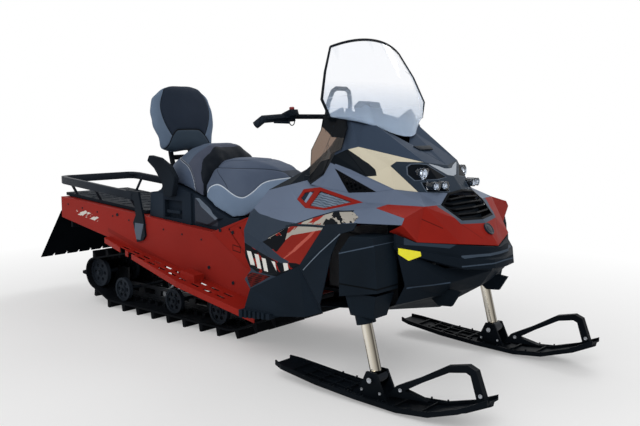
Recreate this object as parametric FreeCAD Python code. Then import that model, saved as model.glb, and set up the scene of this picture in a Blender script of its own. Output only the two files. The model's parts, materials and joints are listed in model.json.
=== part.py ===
import FreeCAD, Part
import math
import os

# Two-seat snowmobile. Millimetres, +X forward, +Y to the rider's left, +Z up.
# The origin lies on the ground under the middle of the whole machine.

# Whole machine
ski_tip_x = 1640.0
flap_rear_x = -1640.0
ski_stance_half = 475.0
seat_fit = 0.3
run_gap = 6.0
cut_over = 5.0
mitre_corners = 1

# Track loop and its wheels
track_half_width = 250.0
belt_thickness = 10.0
lug_height = 40.0
lug_foot = 34.0
lug_tip = 16.0
lug_pitch_nominal = 66.5
centre_lug_half = 92.0
side_lug_inner = 118.0
side_lug_outer = 246.0
drive_lug_height = 18.0
drive_lug_length = 22.0
drive_lug_half = 16.0
sprocket_y = 150.0
sprocket_teeth = 8
sprocket_width = 30.0
sprocket_gap = 0.8
drive_x = 430.0
drive_z = 285.0
upper_shaft_x = -330.0
upper_shaft_z = 352.0
upper_wheel_radius = 70.0
rear_axle_x = -1105.0
rear_axle_z = 190.0
rear_wheel_radius = 83.0
rail_heel_x = -925.0
rail_heel_radius = 90.0
rail_toe_x = 40.0
rail_toe_radius = 300.0
rail_toe_sweep = 21.0
rail_toe_steps = 6
rail_toe_taper_share = 0.5
tightening_steps = 6

# Slide rails, idler wheels, arms and shocks
rail_y = 88.0
rail_thickness = 9.0
rail_height = 72.0
slider_height = 14.0
slider_width = 26.0
rail_rear_x = -1010.0
rail_window_length = 95.0
rail_window_height = 30.0
rail_window_pitch = 150.0
rail_window_start = 50.0
ground_wheel_radius = 68.0
wheel_width = 24.0
wheel_y = 206.0
wheel_hub_radius = 22.0
wheel_rim = 14.0
wheel_holes = 6
wheel_hole_radius = 11.0
shaft_radius = 9.0
axle_radius = 12.5
ground_wheel_xs = (-850.0, -395.0, -40.0)
arm_radius = 14.0
arm_y = 62.0
front_shaft_x = 235.0
front_shaft_z = 325.0
front_arm_foot_x = -130.0
rear_arm_foot_x = -640.0
front_shock_foot_x = -205.0
rear_shock_foot_x = -520.0
shock_eye_radius = 22.0
shock_eye_half = 18.0
shock_pin_radius = 8.0
shock_body_radius = 21.0
shock_spring_radius = 30.0
shock_rod_radius = 8.0

# Tunnel and running boards
tunnel_half_width = 268.0
tunnel_wall = 4.0
tunnel_rear_x = -1375.0
tunnel_front_x = 585.0
tunnel_rear_top = 628.0
tunnel_front_top = 492.0
tunnel_rear_foot = 502.0
foot_line_front_x = 197.0
foot_line_front_z = 239.0
tunnel_nose_x = 480.0
tunnel_nose_foot = 190.0
board_outer_y = 420.0
board_rear_y = 300.0
board_thickness = 5.0
board_rear_x = -892.0
board_full_x = -120.0
board_front_x = 420.0
board_lip = 26.0
board_slot_length = 62.0
board_slot_width = 20.0
board_slot_pitch = 92.0
foot_block_length = 120.0
foot_block_width = 46.0
heel_block_out = 330.0
heel_block_width = 66.0
heel_block_height = 38.0
ear_thickness = 4.0
plate_thickness = 5.0
plate_hole_radius = 6.0

# Rear: flap, rack, deck, hitch, lamp
flap_thickness = 6.0
flap_foot_z = 223.0
flap_half_width = 268.0
flap_notch = 22.0
flap_teeth = 6
flap_notch_run = 88.0
deck_half_width = 225.0
deck_rear_x = -1385.0
deck_front_x = -600.0
deck_thickness = 18.0
deck_lift = 4.0
deck_slot_length = 62.0
deck_slot_width = 14.0
deck_slot_rows = 9
deck_slot_columns = 5
deck_anchor_radius = 5.5
deck_anchor_rim = 2.0
deck_anchor_x_half = 150.0
deck_anchor_y_half = 195.0
rail_tube_radius = 12.0
rail_corner = 48.0
rack_rail_y = 270.0
rack_rear_x = -1372.0
rack_front_x = -700.0
rack_rear_z = 742.0
rack_front_z = 690.0
rack_post_radius = 8.0
bracket_thickness = 12.0
lamp_length = 24.0
lamp_half_width = 120.0
lamp_height = 34.0
hitch_length = 110.0
hitch_half_width = 34.0
hitch_plate = 10.0
hitch_gap = 34.0
hitch_pin_radius = 9.5
hitch_window_gap = 8.0

# Seat and backrest
seat_base_half = 235.0
seat_rear_x = -555.0
seat_length = 985.0
seat_half_width = 200.0
seat_height = 508.0
backrest_half_width = 220.0
backrest_height = 385.0
backrest_depth = 84.0
backrest_foot_x = -470.0
backrest_foot_z = 912.0
backrest_lean = 10.0
backrest_post_radius = 14.0
backrest_post_y = 70.0
handle_width = 34.0
seat_core_inset = 14.0
seat_wedge_bevel = 16.0
latch_depth = 26.0

# Body skin: shares below are of these three sizes, from the pods' rear edge
body_rear_x = 400.0
body_length = 1000.0
body_half_width = 500.0
body_height = 1000.0
body_wall = 4.0

# Grilles, scoop and trim forms on the skin
vent_frame_width = 16.0
grille_plate = 3.0
grille_lap = 6.0
grille_drop = 1.6
vent_ribs = 7
vent_rib_width = 5.0
mesh_frame_width = 9.0
mesh_bars = 6
mesh_bar_width = 5.0
mesh_bar_depth = 3.0
hood_frame_width = 10.0
hood_cut_depth = 80.0
slat_height = 7.0
slat_depth = 16.0
scoop_half = 36.0
scoop_rise = 11.0
scoop_sink = 5.0
scoop_wall = 6.0
pod_half = 42.0
toe_step_reach = 70.0
toe_step_ribs = 6
toe_step_slot = 12.0
fin_thickness = 12.0

# Windshield and deflectors
shield_thickness = 5.0
deflector_thickness = 5.0
deflector_pin_radius = 8.0

# Legs, skis and front frame
leg_foot_x_share = 0.747
leg_foot_z = 97.0
leg_lean = 14.6
leg_radius = 23.0
leg_top_length = 450.0
leg_tube_wall = 7.0
leg_tube_start = 255.0
boot_radius = 39.0
boot_height = 42.0
boot_start = 212.0
ski_length = 990.0
ski_half_width = 80.0
ski_shell = 7.0
ski_flange = 20.0
ski_keel_half = 13.0
ski_keel_depth = 12.0
saddle_length = 150.0
saddle_half = 42.0
saddle_plate = 10.0
saddle_height = 58.0
ski_bolt_radius = 9.0
loop_width = 28.0
ski_rib = 7.0
cradle_half = 200.0
cradle_floor_share = 0.326
cradle_thickness = 14.0
cradle_pad_y = 130.0
cradle_pad_shares = (0.27, 0.59)
cradle_front_share = 0.680
beam_size = 50.0
beam_rise = 150.0
engine_rear_share = 0.260
engine_length_share = 0.340
engine_half = 180.0
engine_height_share = 0.256

# Steering
steer_x = 565.0
steer_z = 1072.0
steer_lean = 27.0
post_radius = 14.0
post_length = 420.0
post_sleeve = 8.0
sleeve_length = 60.0
tower_leg_radius = 12.0
bar_radius = 11.0
grip_radius = 17.0
grip_length = 105.0
bar_mid_y = 100.0
bar_bend_y = 222.0
bar_end_y = 385.0
bar_bend_back = 66.0
bar_end_back = 110.0
bar_rise = 30.0
bar_end_drop = 12.0
bar_clamp_half = 44.0
bar_clamp_size = 34.0
switch_length = 52.0
switch_depth = 46.0
switch_height = 42.0
lever_length = 130.0
lever_thickness = 9.0
grab_lean = 20.0
grab_height = 128.0
grab_radius = 10.0
hook_back = 34.0
hook_out = 12.0
hook_drop = 26.0
grab_foot_half = 84.0

# Places on the body skin: along, out and up
body_shares = {
    "rear_top": (0.004, 0.600, 0.771),
    "rear_hip": (-0.018, 0.800, 0.672),
    "rear_flank": (-0.028, 0.860, 0.598),
    "rear_waist": (-0.010, 0.880, 0.480),
    "rear_knee": (0.025, 0.880, 0.424),
    "rear_notch": (-0.006, 0.900, 0.380),
    "rear_shin": (0.038, 0.920, 0.343),
    "ridge_mid": (0.120, 0.570, 0.800),
    "ridge_top": (0.209, 0.540, 0.824),
    "hip_mid": (0.110, 0.800, 0.696),
    "vent_rear": (0.230, 0.720, 0.748),
    "vent_high": (0.247, 0.670, 0.791),
    "vent_top": (0.326, 0.640, 0.803),
    "vent_nose": (0.579, 0.700, 0.757),
    "vent_low": (0.407, 0.800, 0.715),
    "vent_heel": (0.308, 0.790, 0.718),
    "wing_rear": (0.306, 0.940, 0.657),
    "wing_mid": (0.512, 0.920, 0.726),
    "wing_top": (0.680, 0.800, 0.745),
    "wing_tip": (0.824, 0.830, 0.718),
    "wing_under": (0.825, 0.870, 0.694),
    "wing_low": (0.663, 1.000, 0.695),
    "insert_rear": (0.103, 0.900, 0.557),
    "insert_top": (0.495, 0.980, 0.673),
    "insert_front": (0.356, 0.980, 0.490),
    "insert_foot": (0.226, 0.960, 0.438),
    "crease_top": (0.595, 1.040, 0.648),
    "leg_top": (0.655, 1.030, 0.668),
    "fairing_heel": (0.000, 0.940, 0.226),
    "fairing_step": (0.188, 0.950, 0.246),
    "fairing_low": (0.371, 0.940, 0.272),
    "fairing_toe": (0.452, 0.918, 0.300),
    "fairing_edge": (0.551, 1.040, 0.561),
    "fairing_front": (0.476, 1.000, 0.346),
    "screen_foot": (0.273, 0.640, 0.812),
    "screen_mid": (0.346, 0.640, 0.856),
    "screen_top": (0.397, 0.620, 0.941),
    "mesh_rear": (0.400, 0.620, 0.884),
    "mesh_nose": (0.600, 0.580, 0.796),
    "mesh_foot": (0.480, 0.640, 0.788),
    "cheek_rear": (0.433, 0.560, 0.962),
    "cheek_top": (0.500, 0.560, 0.977),
    "cheek_front": (0.728, 0.260, 0.914),
    "cheek_notch": (0.650, 0.440, 0.918),
    "cheek_hook": (0.627, 0.460, 0.900),
    "cheek_tip": (0.742, 0.390, 0.797),
    "cheek_low": (0.667, 0.510, 0.808),
    "cheek_heel": (0.544, 0.560, 0.856),
    "nose_rear": (0.686, 0.660, 0.754),
    "nose_shoulder": (0.822, 0.550, 0.750),
    "nose_front": (0.908, 0.260, 0.688),
    "nose_centre": (0.931, 0.000, 0.683),
    "nose_lip": (0.759, 0.840, 0.660),
    "nose_chin": (0.840, 0.700, 0.620),
    "nose_low": (0.946, 0.400, 0.606),
    "nose_tip": (1.003, 0.000, 0.581),
    "hood_brow": (0.822, 0.200, 0.792),
    "hood_corner": (0.833, 0.340, 0.749),
    "hood_centre": (0.828, 0.000, 0.801),
    "cowl_rear": (0.402, 0.480, 1.137),
    "cowl_corner": (0.450, 0.340, 1.101),
    "cowl_mid": (0.504, 0.200, 1.045),
    "cowl_root": (0.566, 0.000, 0.986),
    "cowl_tip": (0.757, 0.000, 0.897),
    "belly_top": (0.800, 0.860, 0.596),
    "belly_side": (0.820, 0.800, 0.455),
    "belly_edge": (0.792, 0.840, 0.379),
    "belly_brow": (0.895, 0.460, 0.508),
    "belly_brow_mid": (0.985, 0.000, 0.500),
    "belly_crease": (0.920, 0.460, 0.452),
    "belly_crease_mid": (0.976, 0.000, 0.476),
    "belly_keel": (0.870, 0.440, 0.396),
    "belly_keel_mid": (0.924, 0.000, 0.403),
    "belly_floor": (0.640, 0.560, 0.310),
    "belly_floor_mid": (0.734, 0.000, 0.285),
    "belly_heel": (0.200, 0.600, 0.262),
    "belly_heel_mid": (0.200, 0.000, 0.262),
    "console_foot": (0.010, 0.300, 0.790),
    "console_foot_mid": (0.010, 0.000, 0.790),
    "console_knee": (0.130, 0.260, 0.880),
    "console_knee_mid": (0.130, 0.000, 0.890),
    "console_waist": (0.235, 0.240, 0.975),
    "console_waist_mid": (0.235, 0.000, 0.985),
    "console_top": (0.310, 0.260, 1.060),
    "console_top_mid": (0.310, 0.000, 1.070),
    "console_brow": (0.402, 0.300, 1.100),
    "console_brow_mid": (0.402, 0.000, 1.120),
}

# Which places bound each panel of the skin
side_panel_faces = (
    ("rear_top", "ridge_mid", "hip_mid", "rear_hip"),
    ("ridge_mid", "ridge_top", "vent_high"),
    ("ridge_mid", "vent_high", "vent_rear", "hip_mid"),
    ("rear_hip", "hip_mid", "insert_rear", "rear_flank"),
    ("hip_mid", "vent_rear", "vent_heel", "wing_rear"),
    ("hip_mid", "wing_rear", "insert_rear"),
    ("vent_heel", "vent_low", "wing_mid", "wing_rear"),
    ("vent_low", "vent_nose", "wing_top", "wing_mid"),
    ("wing_rear", "wing_mid", "insert_top"),
    ("wing_mid", "wing_top", "wing_low", "insert_top"),
    ("wing_top", "wing_tip", "wing_under", "wing_low"),
    ("vent_nose", "nose_rear", "wing_top"),
    ("rear_flank", "insert_rear", "rear_waist"),
    ("insert_rear", "insert_foot", "rear_knee", "rear_waist"),
    ("rear_knee", "insert_foot", "rear_notch"),
    ("rear_notch", "insert_foot", "rear_shin"),
    ("rear_shin", "insert_foot", "insert_front"),
    ("ridge_top", "screen_foot", "vent_top", "vent_high"),
    ("screen_foot", "screen_mid", "vent_top"),
    ("screen_mid", "mesh_rear", "vent_top"),
    ("mesh_rear", "mesh_foot", "vent_top"),
    ("mesh_rear", "cheek_heel", "cheek_low", "mesh_nose"),
    ("screen_mid", "screen_top", "mesh_rear"),
    ("screen_top", "cheek_rear", "cheek_heel", "mesh_rear"),
)
insert_faces = (
    ("insert_rear", "wing_rear", "insert_front", "insert_foot"),
    ("wing_rear", "insert_top", "insert_front"),
)
fairing_faces = (
    ("rear_shin", "insert_front", "fairing_low", "fairing_step"),
    ("rear_shin", "fairing_step", "fairing_heel"),
    ("insert_front", "insert_top", "crease_top", "fairing_edge"),
    ("insert_top", "wing_low", "leg_top", "crease_top"),
    ("insert_front", "fairing_edge", "fairing_front"),
    ("insert_front", "fairing_front", "fairing_toe", "fairing_low"),
)
vent_faces = (
    ("vent_rear", "vent_high", "vent_top", "vent_heel"),
    ("vent_heel", "vent_top", "vent_nose", "vent_low"),
)
mesh_faces = (("mesh_rear", "mesh_nose", "mesh_foot"),)
hood_faces = (
    ("mesh_foot", "mesh_nose", "vent_nose"),
    ("vent_top", "mesh_foot", "vent_nose"),
    ("vent_nose", "mesh_nose", "nose_rear"),
    ("mesh_nose", "cheek_low", "nose_rear"),
    ("cheek_low", "cheek_tip", "nose_shoulder", "nose_rear"),
    ("cheek_tip", "hood_brow", "hood_corner", "nose_shoulder"),
)
hood_grille_faces = (
    ("hood_brow", "hood_centre", "nose_centre", "nose_front"),
    ("hood_brow", "nose_front", "hood_corner"),
)
nose_faces = (
    ("nose_rear", "nose_shoulder", "wing_tip", "wing_top"),
    ("nose_shoulder", "nose_chin", "wing_under", "wing_tip"),
    ("wing_under", "nose_chin", "nose_lip"),
    ("nose_shoulder", "hood_corner", "nose_front"),
    ("nose_shoulder", "nose_front", "nose_low", "nose_chin"),
    ("nose_front", "nose_centre", "nose_tip", "nose_low"),
)
cheek_faces = (
    ("cheek_rear", "cheek_top", "cheek_heel"),
    ("cheek_top", "cheek_notch", "cheek_hook", "cheek_heel"),
    ("cheek_top", "cheek_front", "cheek_notch"),
    ("cheek_heel", "cheek_hook", "cheek_low"),
    ("cheek_hook", "cheek_tip", "cheek_low"),
)
lamp_faces = (
    ("cheek_notch", "cheek_front", "cheek_tip", "cheek_hook"),
    ("cheek_front", "cowl_tip", "hood_centre", "hood_brow"),
    ("cheek_front", "hood_brow", "cheek_tip"),
)
cowl_faces = (
    ("cowl_rear", "cowl_corner", "cheek_top"),
    ("cowl_corner", "cowl_mid", "cheek_front", "cheek_top"),
    ("cowl_mid", "cowl_root", "cowl_tip", "cheek_front"),
    ("cowl_rear", "cheek_top", "cheek_rear"),
    ("cowl_rear", "cheek_rear", "screen_top"),
)
belly_faces = (
    ("belly_top", "belly_brow", "belly_crease", "belly_side"),
    ("belly_side", "belly_crease", "belly_keel", "belly_edge"),
    ("belly_brow", "belly_brow_mid", "belly_crease_mid", "belly_crease"),
    ("belly_crease", "belly_crease_mid", "belly_keel_mid", "belly_keel"),
    ("belly_edge", "belly_keel", "belly_floor"),
    ("belly_keel", "belly_keel_mid", "belly_floor_mid", "belly_floor"),
    ("belly_floor", "belly_floor_mid", "belly_heel_mid", "belly_heel"),
)
console_faces = (
    ("rear_top", "console_foot", "console_knee", "ridge_mid"),
    ("ridge_mid", "console_knee", "console_waist", "ridge_top"),
    ("ridge_top", "console_waist", "console_top", "screen_foot"),
    ("screen_foot", "console_top", "screen_mid"),
    ("screen_mid", "console_top", "console_brow", "screen_top"),
    ("screen_top", "console_brow", "cowl_rear"),
    ("console_foot", "console_foot_mid", "console_knee_mid", "console_knee"),
    ("console_knee", "console_knee_mid", "console_waist_mid", "console_waist"),
    ("console_waist", "console_waist_mid", "console_top_mid", "console_top"),
    ("console_top", "console_top_mid", "console_brow_mid", "console_brow"),
)
panel_faces = {
    "side_panels": side_panel_faces,
    "side_inserts": insert_faces,
    "lower_fairings": fairing_faces,
    "vent_frames": vent_faces,
    "mesh_grilles": mesh_faces,
    "hood": hood_faces,
    "hood_grille": hood_grille_faces,
    "nose_cone": nose_faces,
    "cheek_panels": cheek_faces,
    "lamp_housing": lamp_faces,
    "upper_cowl": cowl_faces,
    "belly_pan": belly_faces,
    "console": console_faces,
}

# Seat sections from rear to front: along the seat, half widths at the foot
# and at the top, heights of the shoulder and the top
passenger_seat_shares = (
    (0.075, 0.850, 0.700, 0.7047, 0.7717),
    (0.170, 0.950, 0.780, 0.7835, 0.8819),
    (0.300, 1.040, 0.880, 0.8200, 0.9449),
    (0.375, 1.080, 0.960, 0.8000, 0.9250),
    (0.420, 1.100, 0.920, 0.6900, 0.8000),
)
driver_seat_shares = (
    (0.421, 1.020, 0.760, 0.6654, 0.7736),
    (0.500, 1.060, 0.860, 0.7047, 0.7972),
    (0.620, 1.040, 0.860, 0.6949, 0.7972),
    (0.690, 0.980, 0.800, 0.6752, 0.7795),
    (0.780, 0.860, 0.700, 0.6260, 0.7402),
    (0.880, 0.700, 0.560, 0.5768, 0.6575),
    (0.985, 0.450, 0.340, 0.5374, 0.5571),
)
# Side outline of the seat base: along the seat and up
seat_base_shares = (
    (0.000, 0.1791), (0.015, 0.4134), (0.075, 0.4291), (0.170, 0.5118), (0.300, 0.4626), (0.420, 0.3957),
    (0.500, 0.3071), (0.620, 0.2185), (0.690, 0.2362), (0.700, 0.0945),
)
# Underside of the driver's pad ahead of its base: along the seat and up
seat_nose_shares = ((0.780, 0.3209), (0.880, 0.4193), (0.985, 0.5079))
# Windshield sections from the top down: edge along, out, up, then middle along, up
shield_shares = (
    (0.330, 0.510, 1.396, 0.362, 1.441),
    (0.364, 0.660, 1.287, 0.412, 1.332),
    (0.392, 0.768, 1.172, 0.470, 1.205),
    (0.405, 0.700, 1.100, 0.520, 1.100),
    (0.486, 0.300, 1.066, 0.562, 1.016),
)
# Side wind deflector outline on the skin's scale: along, out, up
deflector_shares = (
    (0.273, 0.653, 0.822), (0.298, 0.690, 0.960), (0.337, 0.655, 1.045), (0.337, 0.625, 1.100),
    (0.398, 0.520, 1.140), (0.440, 0.555, 1.060), (0.425, 0.605, 0.965), (0.390, 0.650, 0.945),
    (0.346, 0.653, 0.862),
)
# Pins that hold the deflector, and the facets behind it
deflector_pin_shares = ((0.408, 1.000, 1.030), (0.312, 1.000, 0.866))
deflector_back_faces = (
    ("screen_foot", "console_top", "screen_mid"),
    ("screen_mid", "console_top", "console_brow", "screen_top"),
    ("screen_top", "console_brow", "cowl_rear"),
    ("cowl_rear", "cheek_rear", "screen_top"),
)
# Leg cover and funnel outlines on the skin's scale: along and up
leg_cover_shares = (
    (0.600, 0.405), (0.598, 0.577), (0.650, 0.645), (0.758, 0.648), (0.771, 0.600), (0.782, 0.440),
)
leg_cover_out_share = 1.060
leg_cover_in_share = 0.780
funnel_top_shares = (0.620, 0.770, 0.800, 1.045)
funnel_foot_shares = (0.645, 0.755, 0.850, 1.030)
funnel_top_z_share = 0.425
funnel_foot_z_share = 0.335
# Bumper stations from the side to the middle: along, out, top, foot, depth
bumper_shares = (
    (0.800, 0.860, 0.6560, 0.5965, 0.014),
    (0.850, 0.710, 0.6190, 0.5640, 0.036),
    (0.972, 0.400, 0.6020, 0.5080, 0.076),
    (1.034, 0.160, 0.5860, 0.5035, 0.080),
    (1.040, 0.000, 0.5770, 0.5010, 0.076),
)
# Section of the bumper: back and up
bumper_ring_shares = ((0.0, 0.0), (0.06, 0.42), (0.32, 0.50), (0.36, 1.0), (1.0, 1.0), (1.0, 0.0))
# Ski sections from tail to tip: along, half width, lift of the sole
ski_shares = (
    (0.000, 0.62, 0.0455), (0.050, 0.82, 0.0384), (0.250, 0.96, 0.0182), (0.450, 1.00, 0.0061),
    (0.645, 1.00, 0.000), (0.780, 0.95, 0.0141), (0.900, 0.80, 0.0525), (1.000, 0.52, 0.1010),
)
# Hand loop on the ski: outer and inner outline, along the ski and up by its length
loop_outer_shares = (
    (0.560, 0.040), (0.600, 0.088), (0.700, 0.140), (0.820, 0.212), (0.905, 0.232), (0.940, 0.218),
    (0.980, 0.110), (0.955, 0.080),
)
loop_inner_shares = (
    (0.640, 0.078), (0.720, 0.128), (0.832, 0.190), (0.900, 0.204), (0.918, 0.196), (0.946, 0.106),
    (0.915, 0.074), (0.820, 0.042),
)
side_bracket_shares = (
    (0.54, 0.00), (0.86, 0.05), (1.00, 0.14), (0.94, 0.44), (0.68, 0.98), (0.00, 1.00), (0.05, 0.88),
    (0.42, 0.80), (0.50, 0.52), (0.35, 0.38),
)
bracket_x = -702.0
bracket_z = 425.0
bracket_length = 158.0
bracket_height = 281.0
# Rows of slots on the tread and holes in the side plate
board_row_shares = (0.30, 0.62)
board_taper_share = 0.45
plate_hole_shares = (0.35, 0.55)
plate_hole_rise_share = 0.60
heart_share = (0.45, 0.60)
heart_follow_share = 0.55
slat_shares = (0.22, 0.40, 0.58, 0.76)
slat_end_share = 0.06
scoop_rear_share = 0.22
scoop_crown_share = 0.40
scoop_front_share = 0.82
scoop_mouth_share = 0.08
scoop_inner_share = 0.62
scoop_crown_width_share = 0.8
scoop_tip_share = 0.1
fin_out_share = 0.40
fin_shares = ((0.800, 0.385), (0.905, 0.420), (0.950, 0.415), (0.911, 0.352), (0.850, 0.347))
pod_shares = (
    (0.318, 1.0748), (0.290, 1.150), (0.318, 1.172), (0.372, 1.166), (0.394, 1.122), (0.392, 1.1150),
)
pod_window_shares = ((0.296, 1.086), (0.268, 1.142), (0.296, 1.150), (0.320, 1.092))
shock_waist_share = 0.5
shock_spring_shares = (0.22, 0.82)
tunnel_ear_reach = 1000.0
ear_shares = ((0.815, 0.605), (0.975, 0.590), (0.940, 0.505), (0.895, 0.505))
heel_block_shares = (0.550, 0.640)
seat_box_share = 0.345
latch_shares = ((0.130, 0.1634), (0.130, 0.3465), (0.275, 0.3465), (0.275, 0.1634))
latch_bar_shares = ((0.150, 0.2126), (0.255, 0.2441))
seat_wedge_shares = ((0.352, 0.1339), (0.352, 0.3898), (0.560, 0.2480), (0.590, 0.2126), (0.480, 0.1102))
wedge_face_share = 0.72
backrest_shares = (
    (0.00, 0.03), (0.45, 0.00), (0.80, 0.06), (0.86, 0.22), (0.98, 0.40), (1.00, 0.62), (0.90, 0.82),
    (0.62, 0.95), (0.30, 1.00), (0.00, 1.00),
)
backrest_depth_shares = ((0.0, 0.90), (0.25, 1.0), (0.75, 1.0), (1.0, 0.92))
handle_shares = (
    (0.165, 0.3898), (0.150, 0.5315), (0.088, 0.6693), (0.028, 0.7480), (0.046, 0.8071), (0.130, 0.7835),
    (0.212, 0.7047), (0.258, 0.5866), (0.232, 0.3898),
)
ski_rib_shares = (0.10, 0.17, 0.24, 0.31, 0.38, 0.45, 0.56, 0.62, 0.74)
lens_shares = ((0.700, 0.300, 0.868, 0.026), (0.775, 0.220, 0.822, 0.017), (0.765, 0.320, 0.822, 0.017))
lens_depth_share = 0.05
# Grab loop from a foot to the crown: out on the feet's half width, up on the loop's rise
grab_shares = ((0.96, 0.55), (0.72, 0.90), (0.42, 1.00))
# Corners of the reflector on the skin's scale, as shares of three spots on the flank
reflector_spot_shares = ((0.8024, 0.8516, 0.6038), (0.8526, 0.6976, 0.5855), (0.8251, 0.7772, 0.5524))
reflector_shares = ((1.0, 0.0, 0.0), (0.0, 1.0, 0.0), (-0.25, 0.85, 0.40), (0.0, 0.0, 1.0), (0.70, -0.25, 0.55))
reflector_thickness = 3.0
reflector_gap = 2.0


def vec(x, y, z):
    return FreeCAD.Vector(x, y, z)


def save(name, shape):
    shape.exportStep("parts/%s.step" % name)


def block(x0, x1, y0, y1, z0, z1):
    return Part.makeBox(x1 - x0, y1 - y0, z1 - z0, vec(x0, y0, z0))


def side_prism(points, y0, y1):
    """A closed side outline of (x, z) points, pushed from y0 to y1."""
    corners = [vec(x, y0, z) for x, z in points]
    face = Part.Face(Part.makePolygon(corners + corners[:1]))
    return face.extrude(vec(0, y1 - y0, 0))


def rod(start, end, radius):
    return Part.makeCylinder(radius, (end - start).Length, start, end - start)


def tube(start, end, outer, inner):
    return rod(start, end, outer).cut(rod(start, end, inner))


def bent_rod(points, radius):
    """Round bar through the points, mitred at each bend."""
    ring = Part.Wire(Part.makeCircle(radius, points[0], points[1] - points[0]))
    return Part.makePolygon(points).makePipeShell([ring], True, False, mitre_corners)


def mirrored(shape):
    return shape.mirror(vec(0, 0, 0), vec(0, 1, 0))


def both_sides(shape):
    return Part.makeCompound([shape, mirrored(shape)])


def ruled(sections):
    """Closed solid through matching closed polygons."""
    wires = [Part.makePolygon(points + points[:1]) for points in sections]
    return Part.makeLoft(wires, True, True)


def body_place(share):
    along, out, up = share
    return vec(body_rear_x + along * body_length, -out * body_half_width, up * body_height)


def mix(a, b, share):
    return a + (b - a) * share


def mix_number(a, b, share):
    return a + (b - a) * share


def table_row(table, at):
    """A table's other columns, taken between the two rows around a place in its first."""
    for low, high in zip(table, table[1:]):
        if at <= high[0]:
            break
    share = (at - low[0]) / (high[0] - low[0])
    return [mix_number(a, b, share) for a, b in zip(low[1:], high[1:])]


# Body skin: a faceted shell, split into panels that meet wall to wall

def skin_points():
    """Right and left places by key; places on the middle plane keep one key."""
    points = {}
    for name, share in body_shares.items():
        spot = body_place(share)
        if spot.y == 0:
            points[name] = spot
        else:
            points[name + ".right"] = spot
            points[name + ".left"] = vec(spot.x, -spot.y, spot.z)
    return points


def turned_over(keys):
    """The same facet seen from behind, with the same first corner."""
    return keys[:1] + keys[:0:-1]


def keyed(face, side, points):
    keys = [name if name in points else name + side for name in face]
    return keys if side == ".right" else turned_over(keys)


def face_normal(keys, points):
    total = vec(0, 0, 0)
    for a, b in zip(keys, keys[1:] + keys[:1]):
        total = total + points[a].cross(points[b])
    return total


def facing_out(keys, points):
    """The keys in the order whose normal points away from the body's heart."""
    middle = vec(0, 0, 0)
    for key in keys:
        middle = middle + points[key] * (1 / len(keys))
    heart = vec(body_rear_x + heart_share[0] * body_length, 0, heart_share[1] * body_height)
    heart.x = mix(heart, middle, heart_follow_share).x
    if face_normal(keys, points).dot(middle - heart) < 0:
        return turned_over(keys)
    return keys


def inner_points(points):
    """Each place moved in by the wall, square to the skin around it."""
    normals = {key: vec(0, 0, 0) for key in points}
    for faces in panel_faces.values():
        for face in faces:
            for side in (".right", ".left"):
                keys = facing_out(keyed(face, side, points), points)
                normal = face_normal(keys, points)
                for key in keys:
                    normals[key] = normals[key] + normal
    inner = {}
    for key, normal in normals.items():
        normal.normalize()
        inner[key] = points[key] - normal * body_wall
    return inner


def triangles(keys):
    return [(keys[0], keys[i], keys[i + 1]) for i in range(1, len(keys) - 1)]


def flat(corners):
    return Part.Face(Part.makePolygon(list(corners) + [corners[0]]))


def closed_solid(faces):
    shell = Part.makeShell(faces)
    solid = Part.makeSolid(shell)
    if solid.Volume < 0:
        solid = Part.makeSolid(shell.reversed())
    return solid


def closed_panel(key_faces, points, inner):
    """Outer facets, inner facets and the wall between them along every free edge."""
    faces = []
    edges = set()
    for keys in key_faces:
        for corner in triangles(keys):
            faces.append(flat([points[k] for k in corner]))
            faces.append(flat([inner[k] for k in corner[::-1]]))
        for pair in zip(keys, keys[1:] + keys[:1]):
            edges.add(pair)
    for a, b in sorted(edges):
        if (b, a) in edges:
            continue
        low, high = sorted((a, b))
        faces.append(flat([points[low], points[high], inner[high]]))
        faces.append(flat([points[low], inner[high], inner[low]]))
    return closed_solid(faces)


def skin_panel(name, points, inner):
    sides = []
    for side in (".right", ".left"):
        sides.append([facing_out(keyed(face, side, points), points) for face in panel_faces[name]])
    on_middle = any(key in body_shares for face in sides[0] for key in face)
    if on_middle:
        return closed_panel(sides[0] + sides[1], points, inner)
    return both_sides(closed_panel(sides[1], points, inner))


def swept(faces, points, places, gap, along):
    """What the right side's facets cover when they are drawn out in one direction."""
    pieces = []
    for face in faces:
        for corner in triangles(facing_out(keyed(face, ".right", points), points)):
            pieces.append(flat([places[key] + gap for key in corner]).extrude(along))
    return Part.makeCompound(pieces)


# Openings, bars and slats on the facets

def plane_of(corners):
    """Middle and unit normal of a near-flat outline."""
    middle = vec(0, 0, 0)
    normal = vec(0, 0, 0)
    for a, b in zip(corners, corners[1:] + corners[:1]):
        middle = middle + a * (1 / len(corners))
        normal = normal + a.cross(b)
    normal.normalize()
    return middle, normal


def drawn_in(corners, distance):
    """The outline flattened and moved in by the distance along every edge."""
    middle, normal = plane_of(corners)
    flat_corners = [c - normal * (c - middle).dot(normal) for c in corners]
    lines = []
    for a, b in zip(flat_corners, flat_corners[1:] + flat_corners[:1]):
        along = b - a
        along.normalize()
        lines.append((a + normal.cross(along) * distance, along))
    result = []
    for (p, d), (q, e) in zip(lines[-1:] + lines[:-1], lines):
        side = normal.cross(e)
        result.append(p + d * ((q - p).dot(side) / d.dot(side)))
    return result


def longest_edge(corners):
    """Unit direction of the outline's longest edge."""
    edges = [b - a for a, b in zip(corners, corners[1:] + corners[:1])]
    edge = max(edges, key=lambda one: one.Length)
    edge.normalize()
    return edge


def slab(corners, normal, low, high):
    return flat([c + normal * low for c in corners]).extrude(normal * (high - low))


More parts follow.
